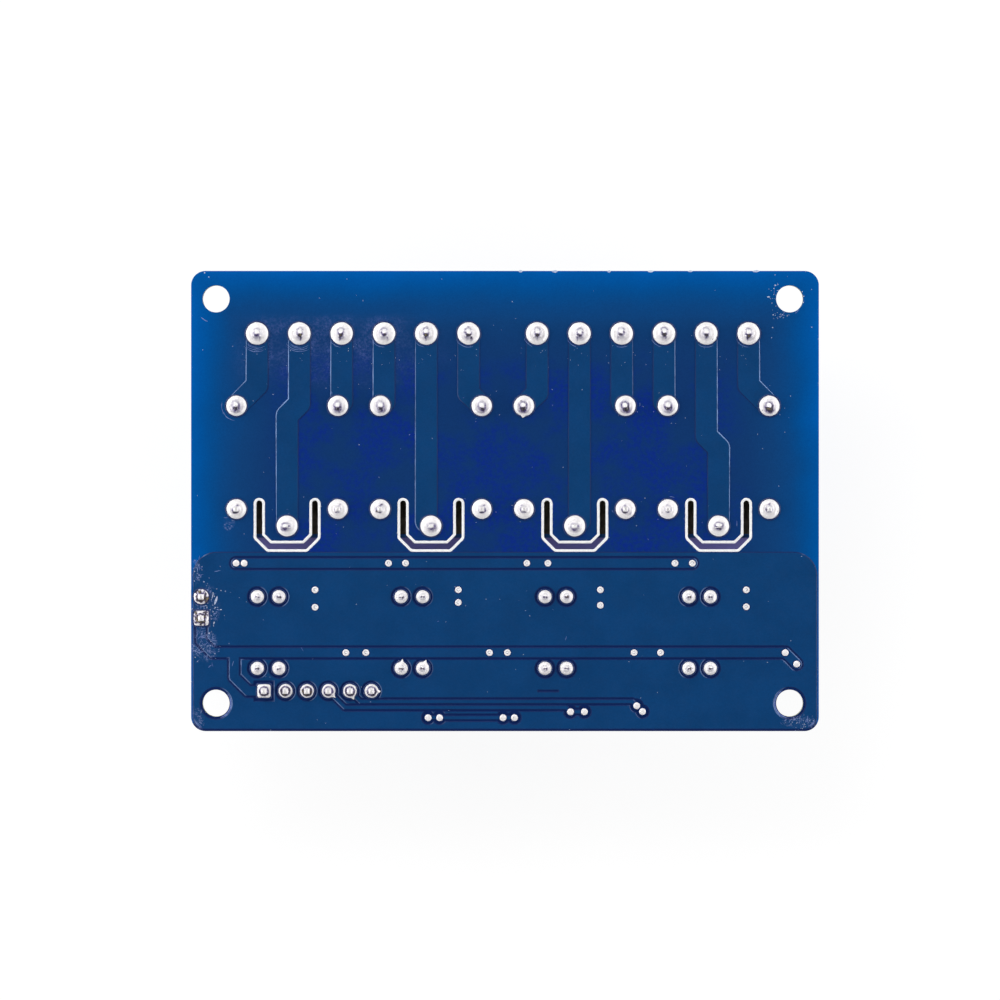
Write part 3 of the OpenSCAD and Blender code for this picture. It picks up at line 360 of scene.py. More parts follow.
# Painted light: tones of the coat from the cut edge, painted bright where light would glow in through the
# laminate, to the painted shade of the middle of the board
PAINTED_GLOW = ((0, (0, 88, 170)), (0.05, (0, 84, 161)), (0.14, (1, 79, 150)), (0.24, (5, 73, 137)),
        (0.34, (11, 68, 127)), (0.5, (16, 63, 117)), (0.75, (17, 57, 110)), (1, (17, 54, 107)))
# Tones of the glass plies at a cut edge, from one ply to the next
PLIES = ((0, (146, 152, 122)), (0.5, (164, 168, 138)), (1, (178, 180, 152)))


@dataclass(frozen=True)
class CoatedLaminate:
    """Blue mask on glass epoxy, with a painted glow of light at the cut edges and painted shade towards the
    middle, which is deep and mottled.

    Sizes are in metres: the board's half width, middle and upper edge, the upper edge of the ground area,
    the component side's height and the board's thickness.
    """

    half_x: float
    middle_x: float
    top_y: float
    pour_y: float
    level: float
    thickness: float
    scuffs: tuple[Spot, ...]
    pour_r: float = 2.7 * MM
    pour_inset: float = 0.3 * MM
    # How far in from the cut edge the painted glow reaches
    painted_glow_reach: float = 12 * MM
    ply: float = 0.1 * MM
    coat: float = 0.1 * MM
    coat_fade: float = 0.02 * MM

    def build(self) -> bpy.types.Material:
        """Makes the material.

        Returns:
            The material of the coat above and below, and of the bare plies at every cut edge.
        """
        t = Tree("coated_laminate")
        x, y, z = t.axes()
        skin = self.solder_side(t, x, y)
        plain = t.mix(t.spread(t.noise(5, 4, 0.6), 0.35, 0.65), shade(12, 66, 126), shade(10, 56, 112))
        half = self.level + self.thickness / 2
        skin = t.mix(t.spread(z, half - self.ply, half + self.ply, 1, 0), skin, plain)
        grain = t.mix(t.noise(0.16, 2, 0.6), shade(0, 0, 0), shade(255, 255, 255))
        skin = t.mix(0.22, skin, grain, "SOFT_LIGHT")
        cut = t.spread(t.calc("ABSOLUTE", t.upright()), 0.4, 0.6, 1, 0)
        t.bump(t.noise(0.2, 3, 0.6), 0.006, 0.5)
        return t.surface(Base_Color=t.mix(cut, skin, self.raw_edge(t, z)), Specular_IOR_Level=0.06,
                         Roughness=t.calc("MULTIPLY_ADD", cut, 0.35, 0.34))

    def solder_side(self, t: Tree, x: Socket, y: Socket) -> Socket:
        """Colours the coat of the solder side.

        Args:
            t: The tree.
            x: The place's X.
            y: The place's Y.

        Returns:
            The coat's colour.
        """
        side = t.less(self.half_x, t.calc("ABSOLUTE", t.less(x, self.middle_x)))
        # Painted glow: the coat is brighter the nearer it is to a cut edge
        edge = t.calc("SMOOTH_MIN", side, t.less(self.top_y, y), 1.5 * MM)
        # Painted shade: the edge's distance is pushed out below the upper strip, more on the right, which
        # darkens it there
        painted_shade_shift = t.times(t.spread(y, 4 * MM, 12 * MM, 1, 0), t.spread(x, -5 * MM, 5 * MM, 0.3, 1))
        edge = t.calc("MULTIPLY_ADD", painted_shade_shift, 0.9 * MM, edge)
        sway = t.times(t.less(t.noise(6, 3), 0.5), 2.4 * MM)
        skin = t.ramp(t.calc("DIVIDE", t.plus(edge, sway), self.painted_glow_reach, clamp=True), PAINTED_GLOW)
        fleck = t.calc("MULTIPLY_ADD", t.spread(t.noise(0.42, 3, 0.65), 0.36, 0.62), 0.75, 0.25)
        # A deeper mottled blue in the middle, away from the painted glow
        deep = t.times(t.spread(edge, 8 * MM, 14 * MM), t.spread(t.noise(5, 3, 0.6), 0.4, 0.64), fleck, 0.9)
        skin = t.mix(deep, skin, shade(12, 42, 132))
        skin = t.mix(self.inside_pour(t, side, y), skin, shade(14, 36, 88))
        haze = t.times(t.spread(x, -33 * MM, -27 * MM), t.spread(x, -18 * MM, -4 * MM, 1, 0),
                       t.spread(y, 12.5 * MM, 17 * MM), t.spread(y, 21.2 * MM, 22.4 * MM, 1, 0),
                       t.spread(t.noise(2.2, 3, 0.6), 0.38, 0.66, 0.25, 1),
                       t.spread(t.noise(0.24, 4, 0.7), 0.4, 0.66, 0.04, 0.36))
        return t.scuffed(t.mix(haze, skin, shade(96, 112, 176)), self.scuffs)

    def raw_edge(self, t: Tree, z: Socket) -> Socket:
        """Colours the cut edges: bare plies between the two coats.

        Args:
            t: The tree.
            z: The place's Z.

        Returns:
            The edge's colour.
        """
        plies = t.calc("PINGPONG", t.plus(z, t.times(t.noise(0.5), self.ply / 2)), self.ply)
        raw = t.ramp(t.calc("DIVIDE", plies, self.ply), PLIES)
        low, high = self.level + self.coat, self.level + self.thickness - self.coat
        coats = t.calc("MAXIMUM", t.spread(z, low - self.coat_fade, low + self.coat_fade, 1, 0),
                       t.spread(z, high - self.coat_fade, high + self.coat_fade))
        return t.mix(coats, raw, shade(12, 70, 130))

    def inside_pour(self, t: Tree, side: Socket, y: Socket) -> Socket:
        """Tells the ground area, whose upper corners are round, from the rest of the board.

        Args:
            t: The tree.
            side: How far the place is from the nearer short edge.
            y: The place's Y.

        Returns:
            1 below the ground area and 0 elsewhere.
        """
        across = t.calc("MAXIMUM", t.less(self.pour_r + self.pour_inset, side), 0)
        up = t.calc("MAXIMUM", t.less(y, self.pour_y - self.pour_r), 0)
        away = t.calc("SQRT", t.plus(t.times(across, across), t.times(up, up)))
        return t.spread(away, self.pour_r - 0.05 * MM, self.pour_r + 0.05 * MM, 1, 0)


@dataclass(frozen=True)
class CoatedCopper:
    """Blue mask over copper: an even, slightly green blue with a faint weave."""

    name: str
    colour: Colour
    gloss: float
    specular: float
    scuffs: tuple[Spot, ...] = ()
    painted_highlight: bool = False

    def build(self) -> bpy.types.Material:
        """Makes the material.

        Returns:
            The material; where painted highlight is wanted, it is paler where the mesh's attribute of
            painted highlight is high.
        """
        t = Tree(self.name)
        cloud = t.spread(t.noise(4, 3), 0.3, 0.7, 0.94, 1.05)
        weave = t.spread(t.noise(0.22, 2, 0.6), 0.25, 0.75, 0.93, 1.07)
        skin = t.mix(1.0, shade(*self.colour), t.times(cloud, weave), "MULTIPLY")
        skin = t.scuffed(skin, self.scuffs)
        if self.painted_highlight:
            # Painted highlight: pale lines where the attribute is high
            painted_glints = t.times(t.attribute("painted_highlight"), t.spread(t.noise(1.1, 3, 0.6), 0.3, 0.6, 0.4, 1))
            skin = t.mix(painted_glints, skin, shade(124, 152, 200))
        t.bump(t.noise(0.3, 2), 0.004, 0.4)
        return t.surface(Base_Color=skin, Roughness=t.wander(self.gloss, 0.05, 0.8, 2),
                         Specular_IOR_Level=self.specular)


@dataclass(frozen=True)
class Solder:
    """Bright tin with a frosted skin, grey where the flux lies, with painted shade and painted highlights
    round the lead.

    The mesh's attribute of flux and painted shade sets the tone: a painted highlight below 0, then hazy,
    dull and burnt as it rises; the hazy and dull greys are partly flux and partly painted shade.
    """

    painted_shine: Colour = (255, 253, 250)
    bright: Colour = (250, 246, 247)
    hazy: Colour = (66, 46, 118)
    dull: Colour = (58, 52, 62)
    burnt: Colour = (126, 112, 80)

    def build(self) -> bpy.types.Material:
        """Makes the material.

        Returns:
            The material.
        """
        t = Tree("solder")
        amount = t.attribute("flux_and_shade")
        frost = t.spread(t.noise(0.3, 4, 0.7), 0.3, 0.66, 0.88, 1.05)
        pits = t.spread(t.noise(0.12, 2, 0.7), 0.27, 0.33, 0.6, 1)
        tone = t.mix(1.0, shade(*self.bright), t.times(frost, pits), "MULTIPLY")
        flux_and_shade = t.calc("MULTIPLY", amount, t.spread(t.noise(0.2, 3, 0.6), 0.2, 0.7, 0.55, 1.25), clamp=True)
        stain = t.mix(t.spread(amount, 0.8, 1.3), shade(*self.hazy), shade(*self.dull))
        stain = t.mix(t.spread(amount, 1.9, 2.6), stain, shade(*self.burnt))
        tone = t.mix(flux_and_shade, tone, stain)
        # Painted highlight where the attribute is below 0
        tone = t.mix(t.spread(amount, -0.1, -0.9), tone, shade(*self.painted_shine))
        t.bump(t.noise(0.14, 3, 0.6), 0.008, 0.5)
        specks = t.spread(t.noise(0.5, 1), 0.2, 0.235, 0.3, 1)
        tone = t.mix(1.0, tone, specks, "MULTIPLY")
        return t.surface(Base_Color=tone, Metallic=0.12,
                         Roughness=t.calc("MULTIPLY_ADD", flux_and_shade, 0.12, 0.38))


@dataclass(frozen=True)
class Moulding:
    """A moulded or sintered body: two close tones, a fine skin and an even gloss."""

    name: str
    colour: Colour
    second: Colour
    size: float = 1.2
    gloss: float = 0.45
    relief: float = 0.01
    clear: float = 0.0

    def build(self) -> bpy.types.Material:
        """Makes the material.

        Returns:
            The material.
        """
        t = Tree(self.name)
        cloud = t.calc("MULTIPLY_ADD", t.noise(self.size, 4, 0.6), 0.7,
                      t.times(t.noise(self.size / 7, 2), 0.3))
        tone = t.mix(t.spread(cloud, 0.35, 0.65), shade(*self.colour), shade(*self.second))
        t.bump(t.noise(self.size / 9, 3, 0.6), self.relief, 0.6)
        return t.surface(Base_Color=tone, Roughness=t.wander(self.gloss, 0.03, self.size / 2, 3),
                         Transmission_Weight=self.clear)


# A height above the whole object, for metal that wasn't dipped
NEVER = 1.0


@dataclass(frozen=True)
class Metal:
    """Worked metal: fine drawn lines along one axis, with darker handling marks.

    Above the height of the dip, in metres, it is bright tin.
    """

    name: str
    colour: Colour
    second: Colour
    along: tuple[float, float, float] = (1, 1, 0.15)
    gloss: float = 0.3
    relief: float = 0.006
    dipped: float = NEVER

    def build(self) -> bpy.types.Material:
        """Makes the material.

        Returns:
            The material.
        """
        t = Tree(self.name)
        stretch = t.nodes.new("ShaderNodeMapping")
        t.links.new(t.place, stretch.inputs["Vector"])
        stretch.inputs["Scale"].default_value = self.along
        lines = t.noise(0.12, 3, 0.6, stretch.outputs[0])
        marks = t.spread(t.noise(0.9, 4, 0.65), 0.42, 0.7)
        tone = t.mix(t.calc("MULTIPLY_ADD", marks, 0.6, t.spread(lines, 0.35, 0.7, 0, 0.4)),
                     shade(*self.colour), shade(*self.second))
        tin = t.spread(t.axes()[2], self.dipped, self.dipped + 0.05 * MM)
        tone = t.mix(tin, tone, shade(244, 240, 240))
        t.bump(lines, self.relief, 0.7)
        return t.surface(Base_Color=tone, Metallic=t.calc("MULTIPLY_ADD", tin, -0.6, 1),
                         Roughness=t.calc("MULTIPLY_ADD", marks, 0.15, self.gloss))


@dataclass(frozen=True)
class Winding:
    """Enamelled wire, of a thickness in metres, in close turns round an upright core, with painted shade
    between the turns.
    """

    wire: float = 0.12 * MM

    def build(self) -> bpy.types.Material:
        """Makes the material.

        Returns:
            The material.
        """
        t = Tree("enamelled_wire")
        turn = t.calc("PINGPONG", t.plus(t.axes()[2], t.times(t.noise(1.5), self.wire / 4)), self.wire / 2)
        crest = t.calc("DIVIDE", turn, self.wire / 2)
        # Painted shade: darker in the grooves between the turns, lighter on their crests
        tone = t.mix(t.spread(crest, 0, 0.7), shade(70, 26, 10), shade(196, 98, 46))
        tone = t.mix(t.spread(t.noise(0.8, 3), 0.4, 0.7, 0, 0.35), tone, shade(150, 66, 30))
        t.bump(crest, 0.05, 0.9)
        return t.surface(Base_Color=tone, Metallic=0.6, Roughness=0.32)


Finish = Union[CoatedLaminate, CoatedCopper, Solder, Moulding, Metal, Winding]
FINISHES: dict[str, Finish] = {finish.name: finish for finish in (
    Moulding("terminal_plastic", (22, 88, 170), (20, 83, 163), 2.0, 0.42, 0.01),
    Metal("plated_steel", (206, 208, 206), (150, 150, 148)),
    Metal("tinned_brass", (206, 196, 160), (150, 132, 84)),
    Metal("tinned_lead", (222, 220, 220), (166, 164, 168), (1, 1, 0.2), 0.26),
    Moulding("black_resin", (30, 30, 32), (42, 42, 43), 0.5, 0.55, 0.014),
    Moulding("black_nylon", (24, 24, 25), (32, 32, 33), 1.4, 0.42, 0.01),
    Moulding("indicator_lens", (238, 226, 214), (226, 206, 190), 0.4, 0.2, 0.004, 0.25),
    Moulding("relay_plastic", (33, 96, 180), (30, 91, 173), 2.4, 0.36, 0.01),
    Moulding("relay_base_plastic", (96, 84, 76), (66, 58, 54), 0.7, 0.6, 0.03),
    Moulding("bobbin_nylon", (226, 222, 208), (212, 206, 190), 1.6, 0.4, 0.01),
    Metal("relay_iron", (150, 152, 156), (98, 98, 102), (0.3, 1, 1), 0.34),
    Metal("contact_bronze", (206, 158, 92), (150, 104, 54), (1, 0.2, 1), 0.28),
    # Dark blue of the mask round pads and vias, partly painted shade
    Moulding("mask_and_shade_collar", (8, 46, 104), (4, 36, 92), 0.4, 0.35, 0.004),
    Moulding("glass_fibre", (255, 254, 252), (236, 238, 242), 0.3, 0.8, 0.02),
    # Pale blue of scratches in the coat, also used for painted highlights
    Moulding("scuffed_mask_and_highlight", (122, 146, 198), (78, 98, 172), 0.5, 0.7, 0.01),
    Moulding("printed_ink", (236, 240, 240), (214, 222, 226), 0.4, 0.6, 0.006),
    Moulding("pale_dust", (206, 214, 232), (128, 150, 200), 0.5, 0.8, 0.01),
)}

# The nodes of the frame that take each finish, by the start of their names
NODES = {
    "coated_laminate": ("board",),
    "coated_copper": ("solder_side_copper", "component_side_copper"),
    "solder": ("vias", "terminal_joints", "relay_joints", "optocoupler_joints", "header_joints"),
    "terminal_plastic": ("terminal_housing",),
    "plated_steel": ("clamp_screws", "wire_cages"),
    "tinned_brass": ("terminal_bars", "header_pins"),
    "black_resin": ("optocoupler_bodies", "transistor_bodies", "diode_bodies", "resistor_bodies"),
    "tinned_lead": ("optocoupler_leads", "transistor_leads", "diode_feet", "chip_ends", "relay_contacts"),
    "black_nylon": ("header_housing", "jumper_housing", "jumper_cap"),
    "indicator_lens": ("indicator_lenses",),
    "relay_plastic": ("relay_cover",),
    "relay_base_plastic": ("relay_base",),
    "bobbin_nylon": ("relay_bobbin",),
    "enamelled_wire": ("relay_winding",),
    "relay_iron": ("relay_yoke", "relay_armature"),
    "contact_bronze": ("relay_spring",),
}
NODE_FINISHES = {node: finish for finish, nodes in NODES.items() for node in nodes}


# ---------------------------------------------------------------- mesh helpers


def node_mesh(name: str) -> bmesh.types.BMesh:
    """Copies a frame node's mesh and merges its doubled vertices.

    Args:
        name: The node's name.

    Returns:
        The copy.
    """
    mesh = bmesh.new()
    mesh.from_mesh(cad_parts[name].data)
    bmesh.ops.remove_doubles(mesh, verts=mesh.verts, dist=WELD)
    return mesh


def middle(box: Box, level: float = 0.0) -> Vector:
    """The middle of a box in plan, at a height."""
    return Vector(((box[0].x + box[1].x) / 2, (box[0].y + box[1].y) / 2, level))


def islands(name: str) -> list[Box]:
    """Finds the boxes of a node's separate solids, row by row from the far one, each from left to right.

    Args:
        name: The node's name.

    Returns:
        Pairs of lowest and highest corner.
    """
    mesh = node_mesh(name)
    seen: set[bmesh.types.BMVert] = set()
    boxes = []
    for start in mesh.verts:
        if start in seen:
            continue
        stack, found = [start], []
        seen.add(start)
        while stack:
            vert = stack.pop()
            found.append(vert.co.copy())
            for edge in vert.link_edges:
                other = edge.other_vert(vert)
                if other not in seen:
                    seen.add(other)
                    stack.append(other)
        boxes.append((Vector([min(c) for c in zip(*found)]), Vector([max(c) for c in zip(*found)])))
    mesh.free()
    return sorted(boxes, key=lambda b: (round(-(b[0].y + b[1].y) / 2, 4), (b[0].x + b[1].x) / 2))


# What a strip remembers of each vertex while it is made: its way outwards and where it started
STRIP_LAYERS = ("step", "base")


def top_rim(name: str, level: float) -> bmesh.types.BMesh:
    """Keeps only a node's upward faces at one height.

    Args:
        name: The node's name.
        level: The faces' height.

    Returns:
        A mesh of those faces, whose open edges are the outlines.
    """
    mesh = node_mesh(name)
    for layer in STRIP_LAYERS:
        mesh.verts.layers.float_vector.new(layer)
    # The layer of painted highlight along the outlines
    mesh.verts.layers.float.new("painted_highlight")
    other = [f for f in mesh.faces
             if f.normal.z < 0.9 or abs(f.calc_center_median().z - level) > 0.005 * MM]
    bmesh.ops.delete(mesh, geom=other, context="FACES")
    return mesh


def outward(mesh: bmesh.types.BMesh) -> dict[bmesh.types.BMVert, Vector]:
    """Finds which way each vertex of an open outline points away from the faces.

    Args:
        mesh: A flat mesh.

    Returns:
        A step for each outline vertex, one unit long across its edges and up to two at a sharp corner.
    """
    steps: dict[bmesh.types.BMVert, Vector] = {}
    sums: dict[bmesh.types.BMVert, list[Vector]] = {}
    for edge in mesh.edges:
        if len(edge.link_faces) != 1:
            continue
        along = (edge.verts[1].co - edge.verts[0].co).normalized()
        side = Vector((along.y, -along.x, 0))
        centre = (edge.verts[0].co + edge.verts[1].co) / 2
        if side.dot(edge.link_faces[0].calc_center_median() - centre) > 0:
            side.negate()
        for vert in edge.verts:
            sums.setdefault(vert, []).append(side)
    for vert, sides in sums.items():
        total = sum(sides, Vector())
        if total.length < 1e-6:
            steps[vert] = sides[0]
            continue
        unit = total.normalized()
        steps[vert] = unit * min(2.0, 1 / max(0.2, unit.dot(sides[0])))
    return steps


def baked(mesh: bmesh.types.BMesh, name: str) -> bpy.types.Mesh:
    """Turns a mesh under work into mesh data.

    Args:
        mesh: The finished mesh, which is freed.
        name: The data's name.

    Returns:
        The data.
    """
    data = bpy.data.meshes.new(name)
    mesh.to_mesh(data)
    mesh.free()
    return data


def placed(name: str, data: bpy.types.ID) -> bpy.types.Object:
    """Makes an object of data and puts it in the scene.

    Args:
        name: The object's name.
        data: Its mesh, lamp or camera.

    Returns:
        The object.
    """
    obj = bpy.data.objects.new(name, data)
    bpy.context.scene.collection.objects.link(obj)
    return obj


def finish_piece(mesh: bmesh.types.BMesh, name: str, finish: bpy.types.Material,
                 smooth: bool = True) -> bpy.types.Object:
    """Makes a piece of a mesh, gives it its finish and hangs it on the module.

    Args:
        mesh: The finished mesh, which is freed.
        name: The piece's name.
        finish: Its material.
        smooth: Whether faces are shaded smooth.

    Returns:
        The new object.
    """
    data = baked(mesh, name)
    data.materials.append(finish)
    if smooth:
        data.shade_smooth()
    obj = placed(name, data)
    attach(obj, BODY)
    LOG.info("%s: %d faces", name, len(data.polygons))
    return obj


TREES: dict[str, BVHTree] = {}


def tree_of(node: str) -> BVHTree:
    """Finds a node's search tree, and makes it when it is first asked for.

    Args:
        node: The node's name.

    Returns:
        The search tree of its faces.
    """
    if node not in TREES:
        mesh = node_mesh(node)
        TREES[node] = BVHTree.FromBMesh(mesh)
        mesh.free()
    return TREES[node]


def face_up(mesh: bmesh.types.BMesh) -> None:
    """Makes the faces of an open strip agree and look up.

    Args:
        mesh: The strip's mesh.
    """
    bmesh.ops.recalc_face_normals(mesh, faces=mesh.faces)
    for face in mesh.faces:
        face.normal_update()
        if face.normal.z < 0:
            face.normal_flip()


def spun(rows: Sequence[tuple[float, float]], steps: int) -> bmesh.types.BMesh:
    """Spins a profile round an upright axis at the origin.

    Args:
        rows: Its points: radius and height in millimetres.
        steps: Number of steps in the full turn.

    Returns:
        The spun mesh.
    """
    mesh = bmesh.new()
    points = [mesh.verts.new((r * MM, 0, z * MM)) for r, z in rows]
    edges = [mesh.edges.new(pair) for pair in zip(points, points[1:])]
    bmesh.ops.spin(mesh, geom=points + edges, cent=(0, 0, 0), axis=UP, dvec=(0, 0, 0),
                   angle=math.tau, steps=steps, use_merge=True, use_duplicate=False)
    bmesh.ops.remove_doubles(mesh, verts=mesh.verts, dist=WELD)
    bmesh.ops.recalc_face_normals(mesh, faces=mesh.faces)
    return mesh


def join(part: bmesh.types.BMesh, whole: bmesh.types.BMesh) -> None:
    """Adds one mesh to another.

    Args:
        part: The mesh to add, which is freed.
        whole: The mesh that it joins.
    """
    data = baked(part, "part")
    whole.from_mesh(data)
    bpy.data.meshes.remove(data)


def clamp(value: float) -> float:
    """The value, kept within 0 and 1."""
    return min(1.0, max(0.0, value))


def jitter(seed: float, x: float, y: float, size: float) -> float:
    """A smooth repeatable value from -1 to 1 at a place, with features of a size in its own unit."""
    return noise.noise(Vector((x / size + seed * 7.3, y / size - seed * 3.1, seed * 1.7)))


# ---------------------------------------------------------------- solder


@dataclass(frozen=True)
class JointShape:
    """Sizes of one kind of solder joint, in millimetres.

    They are the pad's radius, the shoulder's height, the neck's radius, the short and the long radius of the
    nub over the lead's tip, the tip's height and how far the tip leans.
    """

    pad: float
    shoulder: float
    neck: float
    nub: float
    nub_long: float
    top: float
    lean: float
    square: bool = False


JOINT_SHAPES = {
    Form.TERMINAL: JointShape(1.33, 0.46, 0.68, 0.4, 0.48, 1.27, 0.12),
    Form.CONTACT: JointShape(1.21, 0.46, 0.64, 0.3, 0.46, 1.27, 0.1),
    Form.COIL: JointShape(1.17, 0.46, 0.6, 0.3, 0.32, 1.2, 0.2),
    Form.COMMON: JointShape(1.24, 0.46, 0.64, 0.3, 0.46, 1.22, 0.16),
    Form.SMALL: JointShape(0.78, 0.42, 0.46, 0.31, 0.34, 1.24, 0.02),
    Form.PIN: JointShape(0.82, 0.34, 0.62, 0.44, 0.46, 1.04, 0.0),
    Form.SQUARE_PIN: JointShape(0.8, 0.34, 0.62, 0.44, 0.46, 1.04, 0.0, True),
    Form.JUMPER: JointShape(0.9, 0.34, 0.62, 0.44, 0.46, 1.04, 0.0),
    Form.SQUARE_JUMPER: JointShape(0.9, 0.34, 0.62, 0.44, 0.46, 1.04, 0.0, True),
}


@dataclass(frozen=True)
class Blot:
    """A grey patch on a joint, of flux and painted shade, or a painted highlight if its strength is below 0,
    in millimetres.

    The first five are its strength, middle and half widths. The turn's shares move its middle from joint to
    joint.
    A ring has a width, as a share of its half widths, and may be one-sided, with the stronger side swung by
    a share of the turn. A higher power gives a patch a crisper edge.
    """

    strength: float
    x: float
    y: float
    half_x: float
    half_y: float
    turn_x: float = 0.0
    turn_y: float = 0.0
    ring: float = 0.0
    side: float = 0.0
    swing: float = 0.0
    power: int = 2

    def at(self, x: float, y: float, turn: float) -> float:
        """Tells how grey it makes a place.

        Args:
            x: The place, from the joint's middle.
            y: The same.
            turn: A number from -0.5 to 0.5 that moves the blots from joint to joint.

        Returns:
            The greyness, below 0 for a painted highlight.
        """
        u = (x - self.x - self.turn_x * turn) / self.half_x
        v = (y - self.y - self.turn_y * turn) / self.half_y
        if not self.ring:
            return self.strength * math.exp(-abs(u) ** self.power - abs(v) ** self.power)
        strength = self.strength * (1 - self.side * math.sin(math.atan2(y, x) + self.swing * turn))
        return strength * math.exp(-((math.hypot(u, v) - 1) / self.ring) ** 2)


# The stains of each kind of joint: flux, painted shade round and below the lead's nub, and painted
# highlights on the nub where a blot is below 0
STAINS_AND_SHADE = {
    Form.TERMINAL: (Blot(0.4, 0, 0.22, 0.34, 0.42, ring=0.36), Blot(0.9, 0, -0.18, 0.26, 0.18, 0.16),
                    Blot(0.4, 0, -0.4, 0.4, 0.34, -0.3), Blot(-1.4, 0, 0.24, 0.18, 0.23, power=4),
                    Blot(0.6, 0, -0.5, 0.09, 0.4, 0.8), Blot(0.6, 0, 0.1, 0.14, 0.1, -0.8)),
    Form.CONTACT: (Blot(0.55, -0.08, 0.08, 0.4, 0.4, ring=0.36), Blot(0.8, 0, -0.34, 0.28, 0.22, 0.1),
                   Blot(0.6, 0, -0.6, 0.66, 0.4, 0.4), Blot(-1.4, -0.06, 0.1, 0.19, 0.21, power=4),
                   Blot(0.4, 0.34, -0.1, 0.16, 0.4)),
    Form.COIL: (Blot(0.6, 0, 0, 0.33, 0.33, ring=0.34, side=0.6, swing=1),
                Blot(-1.4, 0, 0.02, 0.2, 0.19, power=4), Blot(0.8, 0, -0.34, 0.12, 0.08, 0.6),
                Blot(0.6, 0, 0.5, 0.16, 0.09, -0.8)),
    Form.COMMON: (Blot(0.6, -0.04, 0.02, 0.46, 0.32, ring=0.34), Blot(0.7, -0.2, -0.42, 0.5, 0.22, 0.6),
                  Blot(-1.4, -0.08, 0.05, 0.28, 0.14, power=4), Blot(0.6, 0.3, -0.02, 0.2, 0.14)),
    Form.SMALL: (Blot(1.5, 0.16, 0, 0.08, 0.13, 0, 0.1), Blot(1.5, -0.14, 0, 0.08, 0.13, 0, 0.1),
                 Blot(0.8, 0, 0, 0.24, 0.06), Blot(-0.8, 0, 0.2, 0.2, 0.12)),
}
# The stains of all the joints of header pins: a ring of painted shade round the pin and a painted highlight
# on its end
PIN_STAINS_AND_SHADE = (Blot(1.2, 0, 0, 0.46, 0.46, 0.04, ring=0.34, side=0.35),
              Blot(-1.4, -0.04, 0.04, 0.24, 0.22, power=4))
# The y below which a relay's joints are those of its coil, and of its common lead
COIL_BELOW = 5 * MM
COMMON_BELOW = -2 * MM
# How far the corner of a square pad, which is a little round, stands out past its sides
SQUARE = 1.3
# Joints with a spike of solder at their rim: the node, the joint's place in it and the spike's angle
SPIKES = {("optocoupler_joints", 10): 82, ("optocoupler_joints", 11): 68, ("header_joints", 5): -45,
          ("header_joints", 6): -66, ("header_joints", 7): -4, ("relay_joints", 4): -95}
# Radius and height above the coated copper, in millimetres, from one side of the board to the other
VIA_DOME = [(0.0, -1.71), (0.34, -1.7), (0.39, -1.67), (0.24, -1.65), (0.24, -0.05), (0.38, -0.02),
            (0.4, 0.03), (0.34, 0.08), (0.2, 0.12), (0.0, 0.135)]
VIA_RING = [(0.38, -1.66), (0.39, -1.68), (0.34, -1.71), (0.2, -1.71), (0.13, -1.66), (0.13, -0.5),
            (0.14, 0.01), (0.22, 0.05), (0.33, 0.05), (0.39, 0.02), (0.38, -0.02)]
# The same of the dark rim of mask round a via, whose darkness is partly painted shade
VIA_RIM = [(0.36, 0.004), (0.44, 0.012), (0.5, 0.002)]


def squared(x: float, y: float, share: float) -> float:
    """How much farther out a point of a round outline lies once the outline is square, to a share."""
    return 1 + (min(SQUARE, math.hypot(x, y) / max(abs(x), abs(y))) - 1) * share


